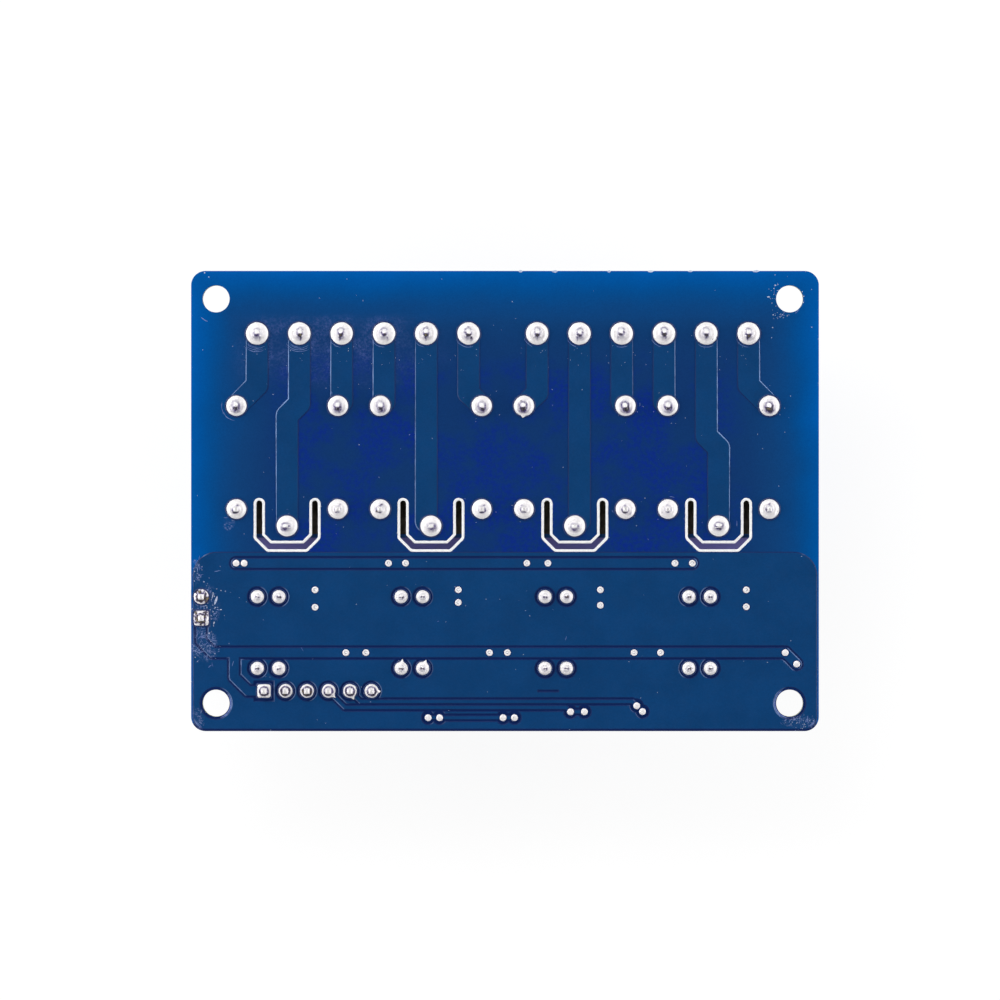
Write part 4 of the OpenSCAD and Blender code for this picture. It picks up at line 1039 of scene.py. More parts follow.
@dataclass
class Joint:
    """One solder joint and the dark rim of mask round its pad, whose darkness is partly painted shade.

    Its middle is in metres, at the laminate, its spike's angle is in degrees and the rest is in millimetres.
    The last fields set it apart from the others of its kind, and are drawn from its seed.
    """

    centre: Vector
    form: Form
    seed: int
    spike: Union[float, None] = None
    steps: int = 40
    rim_up: float = 0.11
    nub_up: float = 0.84
    waves: float = 0.036
    ripples: float = 0.014
    sway: float = 0.02
    collar_w: float = 0.15
    spike_w: float = 0.28
    spike_long: float = 0.42
    shape: JointShape = field(init=False)
    turn: float = field(init=False)
    lean: Vector = field(init=False)
    swell: float = field(init=False)
    grey: float = field(init=False)
    patch: Vector = field(init=False)
    smear: float = field(init=False)

    def __post_init__(self) -> None:
        """Draws the turn that moves the blots, the lean, the swelling, the greyness, and a smear and its
        place.
        """
        self.shape = JOINT_SHAPES[self.form]
        rng = random.Random(self.seed)
        self.turn = rng.uniform(-0.5, 0.5)
        angle = rng.uniform(0, math.tau)
        lean = self.shape.lean * rng.uniform(0.3, 1)
        self.lean = Vector((math.cos(angle), 0.6 * math.sin(angle), 0)) * lean
        self.swell = rng.uniform(0.88, 1.12)
        self.grey = rng.uniform(0.9, 1.6)
        self.patch = Vector((rng.uniform(-0.7, 0.7), rng.uniform(-0.8, 0.3), 0)) * self.shape.pad
        self.smear = rng.uniform(0, 0.35)

    def profile(self) -> list[tuple[float, float]]:
        """Draws half the joint's section.

        Returns:
            Radius and height from its rim to its tip.
        """
        pad, neck, shoulder = self.shape.pad, self.shape.neck, self.shape.shoulder
        nub, up = self.shape.nub, self.nub_up
        points = [(pad, 0.0), (pad + 0.015, 0.05), (pad - 0.02, self.rim_up)]
        points += [(pad - (pad - neck) * t,
                    self.rim_up + (shoulder - self.rim_up) * math.sin(t * math.pi / 2) ** 0.9)
                   for t in (0.14, 0.3, 0.48, 0.66, 0.84, 1.0)]
        points += [(neck - (neck - nub) * t, shoulder + (up - shoulder) * t ** 1.5)
                   for t in (0.25, 0.5, 0.75, 1.0)]
        points += [(nub * k, up + (self.shape.top - up) * h)
                   for k, h in ((0.96, 0.3), (0.82, 0.6), (0.56, 0.85), (0.26, 0.97), (0.0, 1.0))]
        return points

    def build(self) -> bmesh.types.BMesh:
        """Spins the joint and makes it uneven.

        Returns:
            Its mesh with an attribute of flux and painted shade, as the solder's finish reads it.
        """
        shape, seed = self.shape, self.seed
        mesh = spun(self.profile(), self.steps)
        flux_and_shade = mesh.verts.layers.float.new("flux_and_shade")
        along_x = {Form.CONTACT: 0.0, Form.COMMON: 1.0}.get(self.form, 0.5)
        stretch = shape.nub_long / shape.nub - 1
        for vert in mesh.verts:
            x, y, z = vert.co / MM
            r = math.hypot(x, y)
            near = clamp((shape.neck + 0.12 - r) / 0.25)  # 1 at the nub and 0 on the shoulder
            if shape.square and r > 1e-6:
                grow = squared(x, y, 0.86 * (1 - near))
                x, y = x * grow, y * grow
            x *= 1 + stretch * near * along_x
            y *= 1 + stretch * near * (1 - along_x)
            wave, fine = jitter(seed, x, y, 0.55), jitter(seed + 0.5, x, y, 0.2)
            body = min(1, z / 0.1) * (1 - near)  # 1 on the shoulder and 0 at the rim
            z *= 1 + body * (self.swell - 1)
            z += body * (self.waves * wave + self.ripples * fine)
            x += (1 - near) * self.sway * jitter(seed + 2, y, z, 0.5)
            y += (1 - near) * self.sway * jitter(seed + 3, x, z, 0.5)
            rise = 0.4 * clamp((z - 0.3) / 0.7)
            x, y = x + self.lean.x * rise, y + self.lean.y * rise
            vert[flux_and_shade] = self.tone(x, y, z, r, wave, fine)
            vert.co = self.centre + Vector((x, y, min(z, shape.top + 0.02))) * MM
        if self.spike is not None:
            self.pull_spike(mesh, math.radians(self.spike))
        return mesh

    def tone(self, x: float, y: float, z: float, r: float, wave: float, fine: float) -> float:
        """Tells the joint's flux and painted shade at a place.

        Args:
            x: The place, from the joint's middle.
            y: The same.
            z: Its height.
            r: How far it was from the middle before the joint was made uneven.
            wave: The coarse unevenness there, -1 to 1.
            fine: The fine unevenness there, -1 to 1.

        Returns:
            The flux and painted shade, which is more where the solder is grey, and below 0 for a painted
            highlight.
        """
        px, py = x - self.patch.x, y - self.patch.y
        smear = self.smear * math.exp(-(px * px + py * py) / (0.3 * self.shape.pad) ** 2)
        warp = 0.1 * jitter(self.seed + 4, x, y, 0.35)
        x, y = x - self.lean.x + warp, y - self.lean.y - warp
        stain = self.grey * sum(blot.at(x, y, self.turn) for blot in STAINS_AND_SHADE.get(self.form, PIN_STAINS_AND_SHADE))
        if stain > 0 and self.form is not Form.SMALL:
            stain *= 1.1 - min(0.2 if self.shape.top > 1.1 else 0.4, max(0, z - 0.6))
        if self.form in (Form.JUMPER, Form.SQUARE_JUMPER):
            stain += 2.6 * max(0.0, fine + 0.3 + 0.4 * wave) * clamp((r - 0.3) / 0.4)
        if stain > 0:
            stain *= 1 + 0.5 * fine
        # Painted light: the joint's outer rim is painted lighter
        pale = 0.7 * clamp((r / self.shape.pad - 0.72) / 0.2)
        return (stain + smear) * (1 + 0.4 * wave) - pale

    def pull_spike(self, mesh: bmesh.types.BMesh, angle: float) -> None:
        """Pulls one side of the joint's rim out into a small spike.

        Args:
            mesh: The joint's mesh.
            angle: Which way the spike points, in radians from X.
        """
        way = Vector((math.cos(angle), math.sin(angle), 0))
        point = self.centre + way * self.shape.pad * MM
        for vert in mesh.verts:
            far = (vert.co.xy - point.xy).length / MM
            if far < self.spike_w and vert.co.z < self.centre.z + 0.45 * MM:
                vert.co += way * (1 - far / self.spike_w) ** 2 * self.spike_long * MM

    def collar(self) -> bmesh.types.BMesh:
        """Makes the dark rim of mask that lies round the pad; its darkness is partly painted shade at the
        edge of the mask's opening.

        Returns:
            The rim's mesh.
        """
        pad, end = self.shape.pad, self.shape.pad + self.collar_w
        mesh = spun([(pad - 0.05, 0.078), (pad + 0.05, 0.088), (end, 0.08), (end + 0.02, 0.0)], self.steps)
        face_up(mesh)
        for vert in mesh.verts:
            x, y, z = vert.co / MM
            grow = 1 + (0.03 * jitter(self.seed, x, y, 0.6) if math.hypot(x, y) > pad else 0)
            grow *= squared(x, y, 0.9) if self.shape.square else 1
            vert.co = self.centre + Vector((x * grow, y * grow, z)) * MM
        return mesh


@dataclass
class SolderWork:
    """All the solder joints and via beads of the solder side, on laminate at a level in metres."""

    level: float
    solder: bpy.types.Material
    collar: bpy.types.Material
    via_steps: int = 20
    rng: random.Random = field(default_factory=lambda: random.Random(11))

    def row(self, node: str, default: Form, form_of: Union[dict[int, Form], None] = None) -> None:
        """Builds the joints that stand for one node of the frame.

        A relay's joints are told apart by their row: contacts, coil pins, then the common lead.

        Args:
            node: The node that they replace.
            default: The kind of most of them.
            form_of: The kind of the others, by their place in the row.
        """
        solder, shade_collars = bmesh.new(), bmesh.new()
        for i, box in enumerate(islands(node)):
            centre = middle(box, self.level)
            form = (form_of or {}).get(i, default)
            if form is Form.CONTACT and centre.y < COIL_BELOW:
                form = Form.COIL if centre.y > COMMON_BELOW else Form.COMMON
            joint = Joint(centre, form, self.rng.randrange(10_000), SPIKES.get((node, i)))
            join(joint.build(), solder)
            join(joint.collar(), shade_collars)
        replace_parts(finish_piece(solder, f"{node}_solder", self.solder), node)
        finish_piece(shade_collars, f"{node}_collars", self.collar)

    def beads(self, node: str, bore: float, copper: float) -> None:
        """Builds the via beads: a ring round each open via, and a dome on each filled one.

        Args:
            node: The node that they replace.
            bore: Radius of an open via, in millimetres.
            copper: Height of the coated copper, in millimetres.
        """
        solder, shade_collars = bmesh.new(), bmesh.new()
        for box in islands(node):
            centre = middle(box, self.level)
            seed = self.rng.randrange(10_000)
            rows = VIA_DOME if self.filled(node, centre) else VIA_RING
            part = spun([(r, z + copper) for r, z in rows], self.via_steps)
            flux_and_shade = part.verts.layers.float.new("flux_and_shade")
            for vert in part.verts:
                x, y, z = vert.co / MM
                wave = 1 + 0.05 * jitter(seed, x, y, 0.4)
                # Painted shade: grey down inside an open via's bore
                vert[flux_and_shade] = 0.5 if math.hypot(x, y) < bore + 0.03 and rows is VIA_RING else 0.0
                vert.co = centre + Vector((x * wave, y * wave, z)) * MM
            join(part, solder)
            ring = spun([(r, z + copper) for r, z in VIA_RIM], self.via_steps)
            face_up(ring)
            for vert in ring.verts:
                vert.co = centre + vert.co
            join(ring, shade_collars)
        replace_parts(finish_piece(solder, f"{node}_solder", self.solder), node)
        finish_piece(shade_collars, f"{node}_collars", self.collar)

    def filled(self, node: str, centre: Vector) -> bool:
        """Whether the via at a place is filled: its solid then has a point on its own axis."""
        return tree_of(node).ray_cast(centre + 2 * MM * UP, DOWN)[0] is not None


# ---------------------------------------------------------------- coated edges


# Painted highlight on the copper's outlines: it is weaker below the first y, round the middle x and beyond
# the last x
HIGHLIGHT_ABOVE = -6 * MM
HIGHLIGHT_MIDDLE = 4 * MM
HIGHLIGHT_WITHIN = 35.5 * MM


@dataclass
class Ribbon:
    """A strip that follows the open outlines of flat faces, row by row outwards.

    Each row gives its offset, its height and its unevenness, and the spacing is that of its vertices, in
    millimetres.
    """

    name: str
    slot: str
    finish: bpy.types.Material
    spacing: float
    rows: Sequence[tuple[float, float, float]]
    seed: float

    def build(self, mesh: bmesh.types.BMesh, keep: Union[set[bmesh.types.BMEdge], None] = None) -> None:
        """Makes the strip.

        Args:
            mesh: Flat faces whose outlines are followed; it is used up.
            keep: The outline edges to follow; all of them if left out.
        """
        steps = outward(mesh)
        step, base = (mesh.verts.layers.float_vector[name] for name in STRIP_LAYERS)
        painted_highlight = mesh.verts.layers.float["painted_highlight"]
        for vert, way in steps.items():
            vert[step] = way
        kept = keep or {e for e in mesh.edges if len(e.link_faces) == 1}
        drop = [e for e in mesh.edges if e not in kept]
        bmesh.ops.delete(mesh, geom=list(mesh.faces), context="FACES_ONLY")
        bmesh.ops.delete(mesh, geom=drop, context="EDGES")
        bmesh.ops.delete(mesh, geom=[v for v in mesh.verts if not v.link_edges], context="VERTS")
        for edge in list(mesh.edges):
            cuts = int(edge.calc_length() / MM / self.spacing)
            if cuts:
                bmesh.ops.subdivide_edges(mesh, edges=[edge], cuts=cuts)
        for vert in mesh.verts:
            vert[base] = vert.co
            vert[painted_highlight] = self.painted_highlight_share(vert, vert[step])
        edges = list(mesh.edges)
        self.place(mesh.verts, step, base, self.rows[0], 0)
        for i, row in enumerate(self.rows[1:], 1):
            made = bmesh.ops.extrude_edge_only(mesh, edges=edges)["geom"]
            edges = [g for g in made if isinstance(g, bmesh.types.BMEdge)]
            verts = [g for g in made if isinstance(g, bmesh.types.BMVert)]
            self.place(verts, step, base, row, i)
        face_up(mesh)
        for layer in STRIP_LAYERS:
            mesh.verts.layers.float_vector.remove(mesh.verts.layers.float_vector[layer])
        finish_piece(mesh, self.name, self.finish)

    @staticmethod
    def painted_highlight_share(vert: bmesh.types.BMVert, way: Vector) -> float:
        """Tells how much painted highlight an outline gets: most where it faces the nearer short edge of the
        board, as if lit from there.

        Args:
            vert: A vertex of the outline.
            way: Its way outwards.

        Returns:
            The painted highlight, from 0 to 1.
        """
        facing = 0.0
        for edge in vert.link_edges:
            along = (edge.verts[1].co - edge.verts[0].co).normalized()
            side = Vector((along.y, -along.x, 0))
            facing += math.copysign(side.x, side.x * way.dot(side)) * math.copysign(1, vert.co.x)
        facing /= max(1, len(vert.link_edges))
        calm = 1.0 if vert.co.y > HIGHLIGHT_ABOVE else 0.6
        calm *= clamp((abs(vert.co.x - HIGHLIGHT_MIDDLE) - 8 * MM) / (10 * MM))
        calm *= 1.0 if abs(vert.co.x) < HIGHLIGHT_WITHIN else 0.25
        return calm * clamp((facing - 0.25) / 0.4)

    def place(self, verts: Iterable[bmesh.types.BMVert], step: bmesh.types.BMLayerItem,
              base: bmesh.types.BMLayerItem, row: tuple[float, float, float], index: int) -> None:
        """Moves one row of the strip to its place.

        Args:
            verts: The row's vertices.
            step: The layer of their ways outwards.
            base: The layer of the places where they started.
            row: Their offset, height and unevenness in millimetres.
            index: The row's number.
        """
        off, high, rough = row
        for vert in verts:
            at = vert[base]
            sway = rough * jitter(self.seed + 3 * index, at.x / MM, at.y / MM, 0.22)
            sway += 0.6 * rough * jitter(self.seed + 3 * index + 1, at.x / MM, at.y / MM, 0.7)
            vert.co = at + vert[step] * (off + sway) * MM + Vector((0, 0, high * MM))


# Widths between which an outline is an isolation slot's: a hole is narrower and the board is wider
SLOT_WIDTHS = (5 * MM, 12 * MM)


def slot_edges(mesh: bmesh.types.BMesh) -> set[bmesh.types.BMEdge]:
    """Finds the outlines of the isolation slots.

    Args:
        mesh: The board's upward faces.

    Returns:
        The slots' outline edges.
    """
    rim = {e for e in mesh.edges if len(e.link_faces) == 1}
    found: set[bmesh.types.BMEdge] = set()
    while rim:
        loop = {rim.pop()}
        stack = list(loop)
        while stack:
            for vert in stack.pop().verts:
                for edge in vert.link_edges:
                    if edge in rim:
                        rim.discard(edge)
                        loop.add(edge)
                        stack.append(edge)
        xs = [v.co.x for e in loop for v in e.verts]
        if SLOT_WIDTHS[0] < max(xs) - min(xs) < SLOT_WIDTHS[1]:
            found |= loop
    return found


# ---------------------------------------------------------------- component side


# From a part to its printed outline, in millimetres
PRINT_GAPS = {"optocoupler_bodies": 0.2, "header_housing": 0.3, "jumper_housing": 0.3, "diode_bodies": 0.9,
              "transistor_bodies": 1.1}
# Radius and height of the solder round a lead that goes through the board, in millimetres
LEAD_RING = [(0.28, 0.0), (0.3, -0.1), (0.62, -0.06), (0.8, -0.03), (0.84, 0.0)]


@dataclass
class ComponentSide:
    """Printed outlines without any text, and the solder of the small parts, on the hidden side.

    The level is the component side's height in metres; the other sizes are in millimetres.
    """

    level: float
    margin: float = 0.12
    line_w: float = 0.16
    ink_t: float = 0.015
    tin_t: float = 0.09
    tin_w: float = 0.2
    tin_slope: float = 0.12
    sunk: float = 0.002
    ink: bmesh.types.BMesh = field(default_factory=bmesh.new)
    tin: bmesh.types.BMesh = field(default_factory=bmesh.new)

    def plate(self, mesh: bmesh.types.BMesh, low: Vector, high: Vector, depth: float,
              slope: float = 0.0) -> None:
        """Lays a thin plate on the board.

        Args:
            mesh: The mesh that it joins.
            low: Its lowest corner; only x and y count.
            high: Its highest corner; only x and y count.
            depth: Its thickness in millimetres.
            slope: How far its free face is drawn in, in millimetres.
        """
        made = bmesh.ops.create_cube(mesh, size=1)["verts"]
        for vert in made:
            free = vert.co.z < 0
            x, y = (a / 2 + b / 2 + k * (b - a)
                    for a, b, k in ((low.x, high.x, vert.co.x), (low.y, high.y, vert.co.y)))
            if free:
                x -= math.copysign(slope * MM, vert.co.x)
                y -= math.copysign(slope * MM, vert.co.y)
            vert.co = Vector((x, y, self.level - (depth if free else -self.sunk) * MM))

    def bare(self, x: float, y: float) -> bool:
        """Tells whether the board is there to print on, with no slot, hole or via.

        Args:
            x: The place's X.
            y: The place's Y.

        Returns:
            Whether it is bare board.
        """
        start = Vector((x, y, self.level - MM))
        return (tree_of("board").ray_cast(start, UP, 1.2 * MM)[0] is not None
                and tree_of("vias").ray_cast(start, UP, 1.2 * MM)[0] is None)

    def line(self, start: Vector, end: Vector) -> None:
        """Prints a line along x or y, with a break at each slot, hole and via.

        Args:
            start: Its first point.
            end: Its last point.
        """
        half = self.line_w / 2 * MM
        reach = half + self.margin * MM
        count = max(2, int((end - start).length / (0.1 * MM)))
        points = [start.lerp(end, i / count) for i in range(count + 1)]
        clear = [all(self.bare(p.x + x * reach, p.y + y * reach) for x in (-1, 0, 1) for y in (-1, 0, 1))
                 for p in points]
        first = None
        for i, free in enumerate(clear + [False]):
            if free and first is None:
                first = i
            elif not free and first is not None:
                (x1, x2), (y1, y2) = (sorted(pair) for pair in zip(points[first].xy, points[i - 1].xy))
                self.plate(self.ink, Vector((x1 - half, y1 - half, 0)), Vector((x2 + half, y2 + half, 0)),
                           self.ink_t)
                first = None

    def outline(self, low: Vector, high: Vector, gap: float) -> None:
        """Prints a rectangle round a part.

        Args:
            low: The part's lowest corner.
            high: Its highest corner.
            gap: From the part to the line, in millimetres.
        """
        reach = (gap - self.line_w / 2) * MM
        x1, y1, x2, y2 = low.x - reach, low.y - reach, high.x + reach, high.y + reach
        corners = [Vector((*point, 0)) for point in ((x1, y1), (x2, y1), (x2, y2), (x1, y2))]
        for start, end in zip(corners, corners[1:] + corners[:1]):
            self.line(start, end)

    def build(self, ink: bpy.types.Material, tin: bpy.types.Material) -> None:
        """Prints the outlines, a bar for each diode and one for the header's first pin, and lays the solder.

        Args:
            ink: The finish of the print.
            tin: The finish of the solder.
        """
        channels = range(1, 5)
        for node in [f"{kind}_{n}" for n in channels for kind in ("relay_cover", "terminal_housing")]:
            self.outline(*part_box(node), 0.3)
        for node, gap in PRINT_GAPS.items():
            for low, high in islands(node):
                self.outline(low, high, gap)
        gap = PRINT_GAPS["diode_bodies"] * MM
        for low, high in islands("diode_bodies"):
            self.plate(self.ink, Vector((high.x + gap, low.y - gap, 0)),
                       Vector((high.x + gap + 0.35 * MM, high.y + gap, 0)), self.ink_t)
        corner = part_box("header_housing")[0]
        self.plate(self.ink, corner - Vector((0, 0.8 * MM, 0)), corner + Vector((2.5 * MM, -0.5 * MM, 0)),
                   self.ink_t)
        grow = Vector((self.tin_w * MM, self.tin_w * MM, 0))
        for node in ("chip_ends", "diode_feet", "transistor_leads"):
            for low, high in islands(node):
                self.plate(self.tin, low - grow, high + grow, self.tin_t, self.tin_slope)
        for box in islands("optocoupler_joints"):
            ring = spun(LEAD_RING, 28)
            for vert in ring.verts:
                vert.co += middle(box, self.level)
            join(ring, self.tin)
        finish_piece(self.ink, "component_side_print", ink, False)
        finish_piece(self.tin, "component_side_solder", tin, False)


# ---------------------------------------------------------------- marks


# Chips beside the upper right mounting hole: x and y from its middle, and the radius, in millimetres
CHIPS = ((-1.72, 1.6, 0.11), (-1.4, 1.68, 0.06), (-1.86, 1.22, 0.06), (-2.5, 0.22, 0.12),
         (-2.1, -0.5, 0.06), (-1.95, -1.9, 0.07), (-0.3, -2.0, 0.06), (-2.0, -3.4, 0.06),
         (-2.15, -4.6, 0.05), (2.6, -3.35, 0.07), (1.66, 0.3, 0.07), (1.62, -0.42, 0.06), (1.5, 0.84, 0.05))
# Where the chips along the board's far edge are, as shares of its length
EDGE_CHIPS = (0.527, 0.58, 0.668, 0.733, 0.797, 0.9)
# From the board's edges to the middle of a mounting hole and of a corner's curve
HOLE_X, HOLE_Y, CORNER = 3.2 * MM, 3.3 * MM, 1.7 * MM


@dataclass
class Marks:
    """Dust, crumbs, scratches and two painted highlights that lie on the solder side, whose laminate is at a
    level in metres.
    """

    level: float
    rng: random.Random = field(default_factory=lambda: random.Random(5))
    dust: bmesh.types.BMesh = field(default_factory=bmesh.new)
    lines: bmesh.types.BMesh = field(default_factory=bmesh.new)

    def height(self, x: float, y: float) -> Union[float, None]:
        """Finds the height of the copper or laminate at a place.

        Args:
            x: The place's X.
            y: The place's Y.

        Returns:
            The height, or nothing where there is a hole or a joint.
        """
        start = Vector((x, y, self.level + 3 * MM))
        for node in ("terminal_joints", "relay_joints", "optocoupler_joints", "header_joints", "vias"):
            if tree_of(node).ray_cast(start, DOWN)[0] is not None:
                return None
        for node in ("solder_side_copper", "board"):
            hit = tree_of(node).ray_cast(start, DOWN, 3.2 * MM)[0]
            if hit is not None:
                return hit.z
        return None

    def speck(self, x: float, y: float, size: float) -> None:
        """Lays one speck, if there is board below it.

        Args:
            x: Its X.
            y: Its Y.
            size: Its radius in millimetres.
        """
        high = self.height(x, y)
        if high is None:
            return
        made = bmesh.ops.create_circle(self.dust, cap_ends=True, segments=7, radius=size * MM)
        long = self.rng.uniform(0.6, 1.5)
        for vert in made["verts"]:
            vert.co = Vector((x + vert.co.x * long, y + vert.co.y / long, high + 0.012 * MM))
            vert.co.x += self.rng.uniform(-0.25, 0.25) * size * MM

    def stroke(self, points: Sequence[tuple[float, float]], width: float, pale: bool = False) -> None:
        """Draws a tapered scratch, which also serves for painted highlights.

        Args:
            points: Its course in metres.
            width: Its width in millimetres.
            pale: Whether it is as pale as dust.
        """
        course = [Vector((x, y, 0)) for x, y in points]
        legs = [(b - a).length for a, b in zip(course, course[1:])]
        total = sum(legs)
        count = max(3, int(total / (0.14 * MM)))
        heights = [self.height(p.x, p.y) for p in course]
        if total == 0 or any(h is None for h in heights):
            return
        high = max(heights)
        seed = self.rng.random() * 50
        mesh = self.dust if pale else self.lines
        made = bmesh.ops.create_grid(mesh, x_segments=count, y_segments=1, size=1)
        for vert in made["verts"]:
            share = (vert.co.x + 1) / 2
            left = share * total
            leg = 0
            while leg < len(legs) - 1 and left > legs[leg]:
                left -= legs[leg]
                leg += 1
            way = (course[leg + 1] - course[leg]) / legs[leg]
            at = course[leg] + way * left
            taper = math.sin(math.pi * clamp(share)) ** 0.5
            swell = 1 + 0.5 * jitter(seed, at.x / MM, at.y / MM, 0.4)
            across = vert.co.y * width / 2 * taper * swell
            across += 0.04 * jitter(seed + 9, at.x / MM, at.y / MM, 0.5)
            vert.co = at + Vector((-way.y, way.x, 0)) * across * MM + (high + 0.01 * MM) * UP

    def arc(self, centre: Vector, radius: float, start: float, end: float, width: float) -> None:
        """Draws a scratch along an arc; it also draws the painted highlights round two holes.

        Args:
            centre: The arc's middle.
            radius: Its radius in millimetres.
            start: Its first angle in degrees.
            end: Its last angle in degrees.
            width: Its width in millimetres.
        """
        steps = max(3, int(abs(end - start) / 8))
        turns = [math.radians(start + (end - start) * i / steps) for i in range(steps + 1)]
        self.stroke([(centre.x + radius * MM * math.cos(a), centre.y + radius * MM * math.sin(a))
                     for a in turns], width)

    def scatter(self, centre: Vector, half: tuple[float, float], count: int, sizes: tuple[float, float],
                dashes: int = 0) -> None:
        """Strews specks and short dashes round a place.

        Args:
            centre: Its middle.
            half: Its half widths in millimetres.
            count: Number of specks.
            sizes: Smallest and largest radius in millimetres.
            dashes: Number of dashes.
        """
        def spot() -> tuple[float, float]:
            """A place near the middle."""
            return (centre.x + self.rng.gauss(0, 0.5) * half[0] * MM,
                    centre.y + self.rng.gauss(0, 0.5) * half[1] * MM)

        for _ in range(count):
            self.speck(*spot(), self.rng.uniform(*sizes))
        for _ in range(dashes):
            x, y = spot()
            turn, long = self.rng.uniform(0, math.pi), self.rng.uniform(0.2, 0.8) * MM
            self.stroke([(x, y), (x + math.cos(turn) * long, y + math.sin(turn) * long)],
                        self.rng.uniform(0.03, 0.07))

    def build(self, dust: bpy.types.Material, line: bpy.types.Material) -> None:
        """Lays all the marks: a thin dust everywhere, and more where the board was handled.

        Args:
            dust: The finish of dust and chips.
            line: The finish of scratches and of the painted highlights.
        """
        low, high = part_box("board")
        for _ in range(110):
            self.speck(self.rng.uniform(low.x, high.x), self.rng.uniform(low.y, high.y),
                       self.rng.uniform(0.02, 0.05))
        self.round_joints()
        pins = islands("header_joints")
        self.round_jumper(middle((pins[0][0], pins[1][1])))
        self.round_holes(low, high)
        self.along_edges(low, high)
        finish_piece(self.dust, "board_dust", dust, False)
        finish_piece(self.lines, "board_scratches_and_highlights", line, False)

    def round_joints(self) -> None:
        """Lays the marks round the joints, with most scratches at the first two terminals."""
        terminals, contacts = islands("terminal_joints"), islands("relay_joints")
        for at in map(middle, terminals):
            self.scatter(at - Vector((0, 2.4 * MM, 0)), (2.2, 1.6), 8, (0.015, 0.04))
            start = self.rng.uniform(190, 240)
            self.arc(at, 1.62, start, start + self.rng.uniform(40, 90), 0.05)
        for at in map(middle, terminals[:2]):
            for radius in (1.75, 1.95, 2.15):
                self.arc(at, radius, 215 + 12 * self.rng.random(), 290 + 20 * self.rng.random(), 0.05)
        self.arc(middle(contacts[0]), 1.75, 165, 265, 0.06)
        for at in map(middle, contacts + islands("optocoupler_joints")):
            if self.rng.random() < 0.6:
                self.scatter(at, (2.4, 2.4), 5, (0.015, 0.045), 1)

    def round_jumper(self, at: Vector) -> None:
        """Lays the crumbs and scratches round the jumper's pins.

        Args:
            at: The middle of its two joints.
        """
        self.scatter(at + Vector((0.4 * MM, 0, 0)), (2.0, 3.0), 80, (0.03, 0.09), 30)
        self.scatter(at - Vector((-0.3 * MM, 4.6 * MM, 0)), (2.6, 2.0), 30, (0.02, 0.06), 44)
        self.scatter(at + Vector((-0.5 * MM, 3.9 * MM, 0)), (0.9, 1.6), 20, (0.02, 0.06), 12)
        for x1, y1, x2, y2, width in ((1.55, 0.3, 1.89, 1.35, 0.26), (1.25, 1.0, 1.43, 1.8, 0.12)):
            self.stroke([(at.x + x1 * MM, at.y + y1 * MM), (at.x + x2 * MM, at.y + y2 * MM)], width, True)

    def round_holes(self, low: Vector, high: Vector) -> None:
        """Lays the marks round the mounting holes, and painted highlights at the two near ones.

        Args:
            low: The board's lowest corner.
            high: The board's highest corner.
        """
        across = (high.x - low.x) / 2 - HOLE_X
        holes = [Vector((x, y, 0)) for y in (high.y - HOLE_Y, low.y + HOLE_Y) for x in (-across, across)]
        self.arc(holes[0], 2.85, 230, 250, 0.1)
        self.scatter(holes[3] + Vector((1.7 * MM, -2.4 * MM, 0)), (2.2, 0.8), 40, (0.02, 0.05), 10)
        self.scatter(holes[1] + Vector((-1.7 * MM, 0.3 * MM, 0)), (0.6, 1.7), 20, (0.02, 0.05), 3)
        self.scatter(holes[1] + Vector((-1.0 * MM, -1.9 * MM, 0)), (1.2, 0.6), 20, (0.02, 0.05), 4)
        for x, y, size in CHIPS:
            self.speck(holes[1].x + x * MM, holes[1].y + y * MM, size)
        for x, y in ((-1.36, 3.08), (-0.86, 2.58)):
            self.speck(holes[0].x + x * MM, holes[0].y + y * MM, 0.08)
        # Painted highlights: pale crescents on the edge of the copper round the two near holes
        self.arc(holes[3], 1.76, 120, 262, 0.16)
        self.arc(holes[2], 1.76, -75, 42, 0.16)

    def along_edges(self, low: Vector, high: Vector) -> None:
        """Lays the scratches at the near corners and the chips along the far edge.

        Args:
            low: The board's lowest corner.
            high: The board's highest corner.
        """
        for x, turn in ((low.x + CORNER, 185), (high.x - CORNER, 285)):
            for radius in (1.2, 1.32, 1.45):
                start, end = (turn + more + 20 * self.rng.random() for more in (0, 50))
                self.arc(Vector((x, low.y + CORNER, 0)), radius, start, end, 0.07)
        for share in EDGE_CHIPS:
            x = low.x + (high.x - low.x) * share - 0.45 * MM
            end = x + self.rng.uniform(0.5, 0.9) * MM
            self.stroke([(x, high.y - 0.05 * MM), (end, high.y - 0.04 * MM)], 0.26, True)


# ---------------------------------------------------------------- studio


# Each lamp's name, middle, length and height in metres, and power in watts
LAMPS = (("side_-1", (-0.32, 0.02, 0.13), (0.6, 0.09), 0.82),
         ("side_1", (0.32, 0.02, 0.13), (0.6, 0.09), 0.82),
         ("key", (-0.25, 0.5, 0.55), (0.5, 0.3), 2.1))
# Where the sky starts and ends to dim, as the upward share of the view's direction, and its strength there
SKY = (0.7, 0.92, 0.66, 0.01)


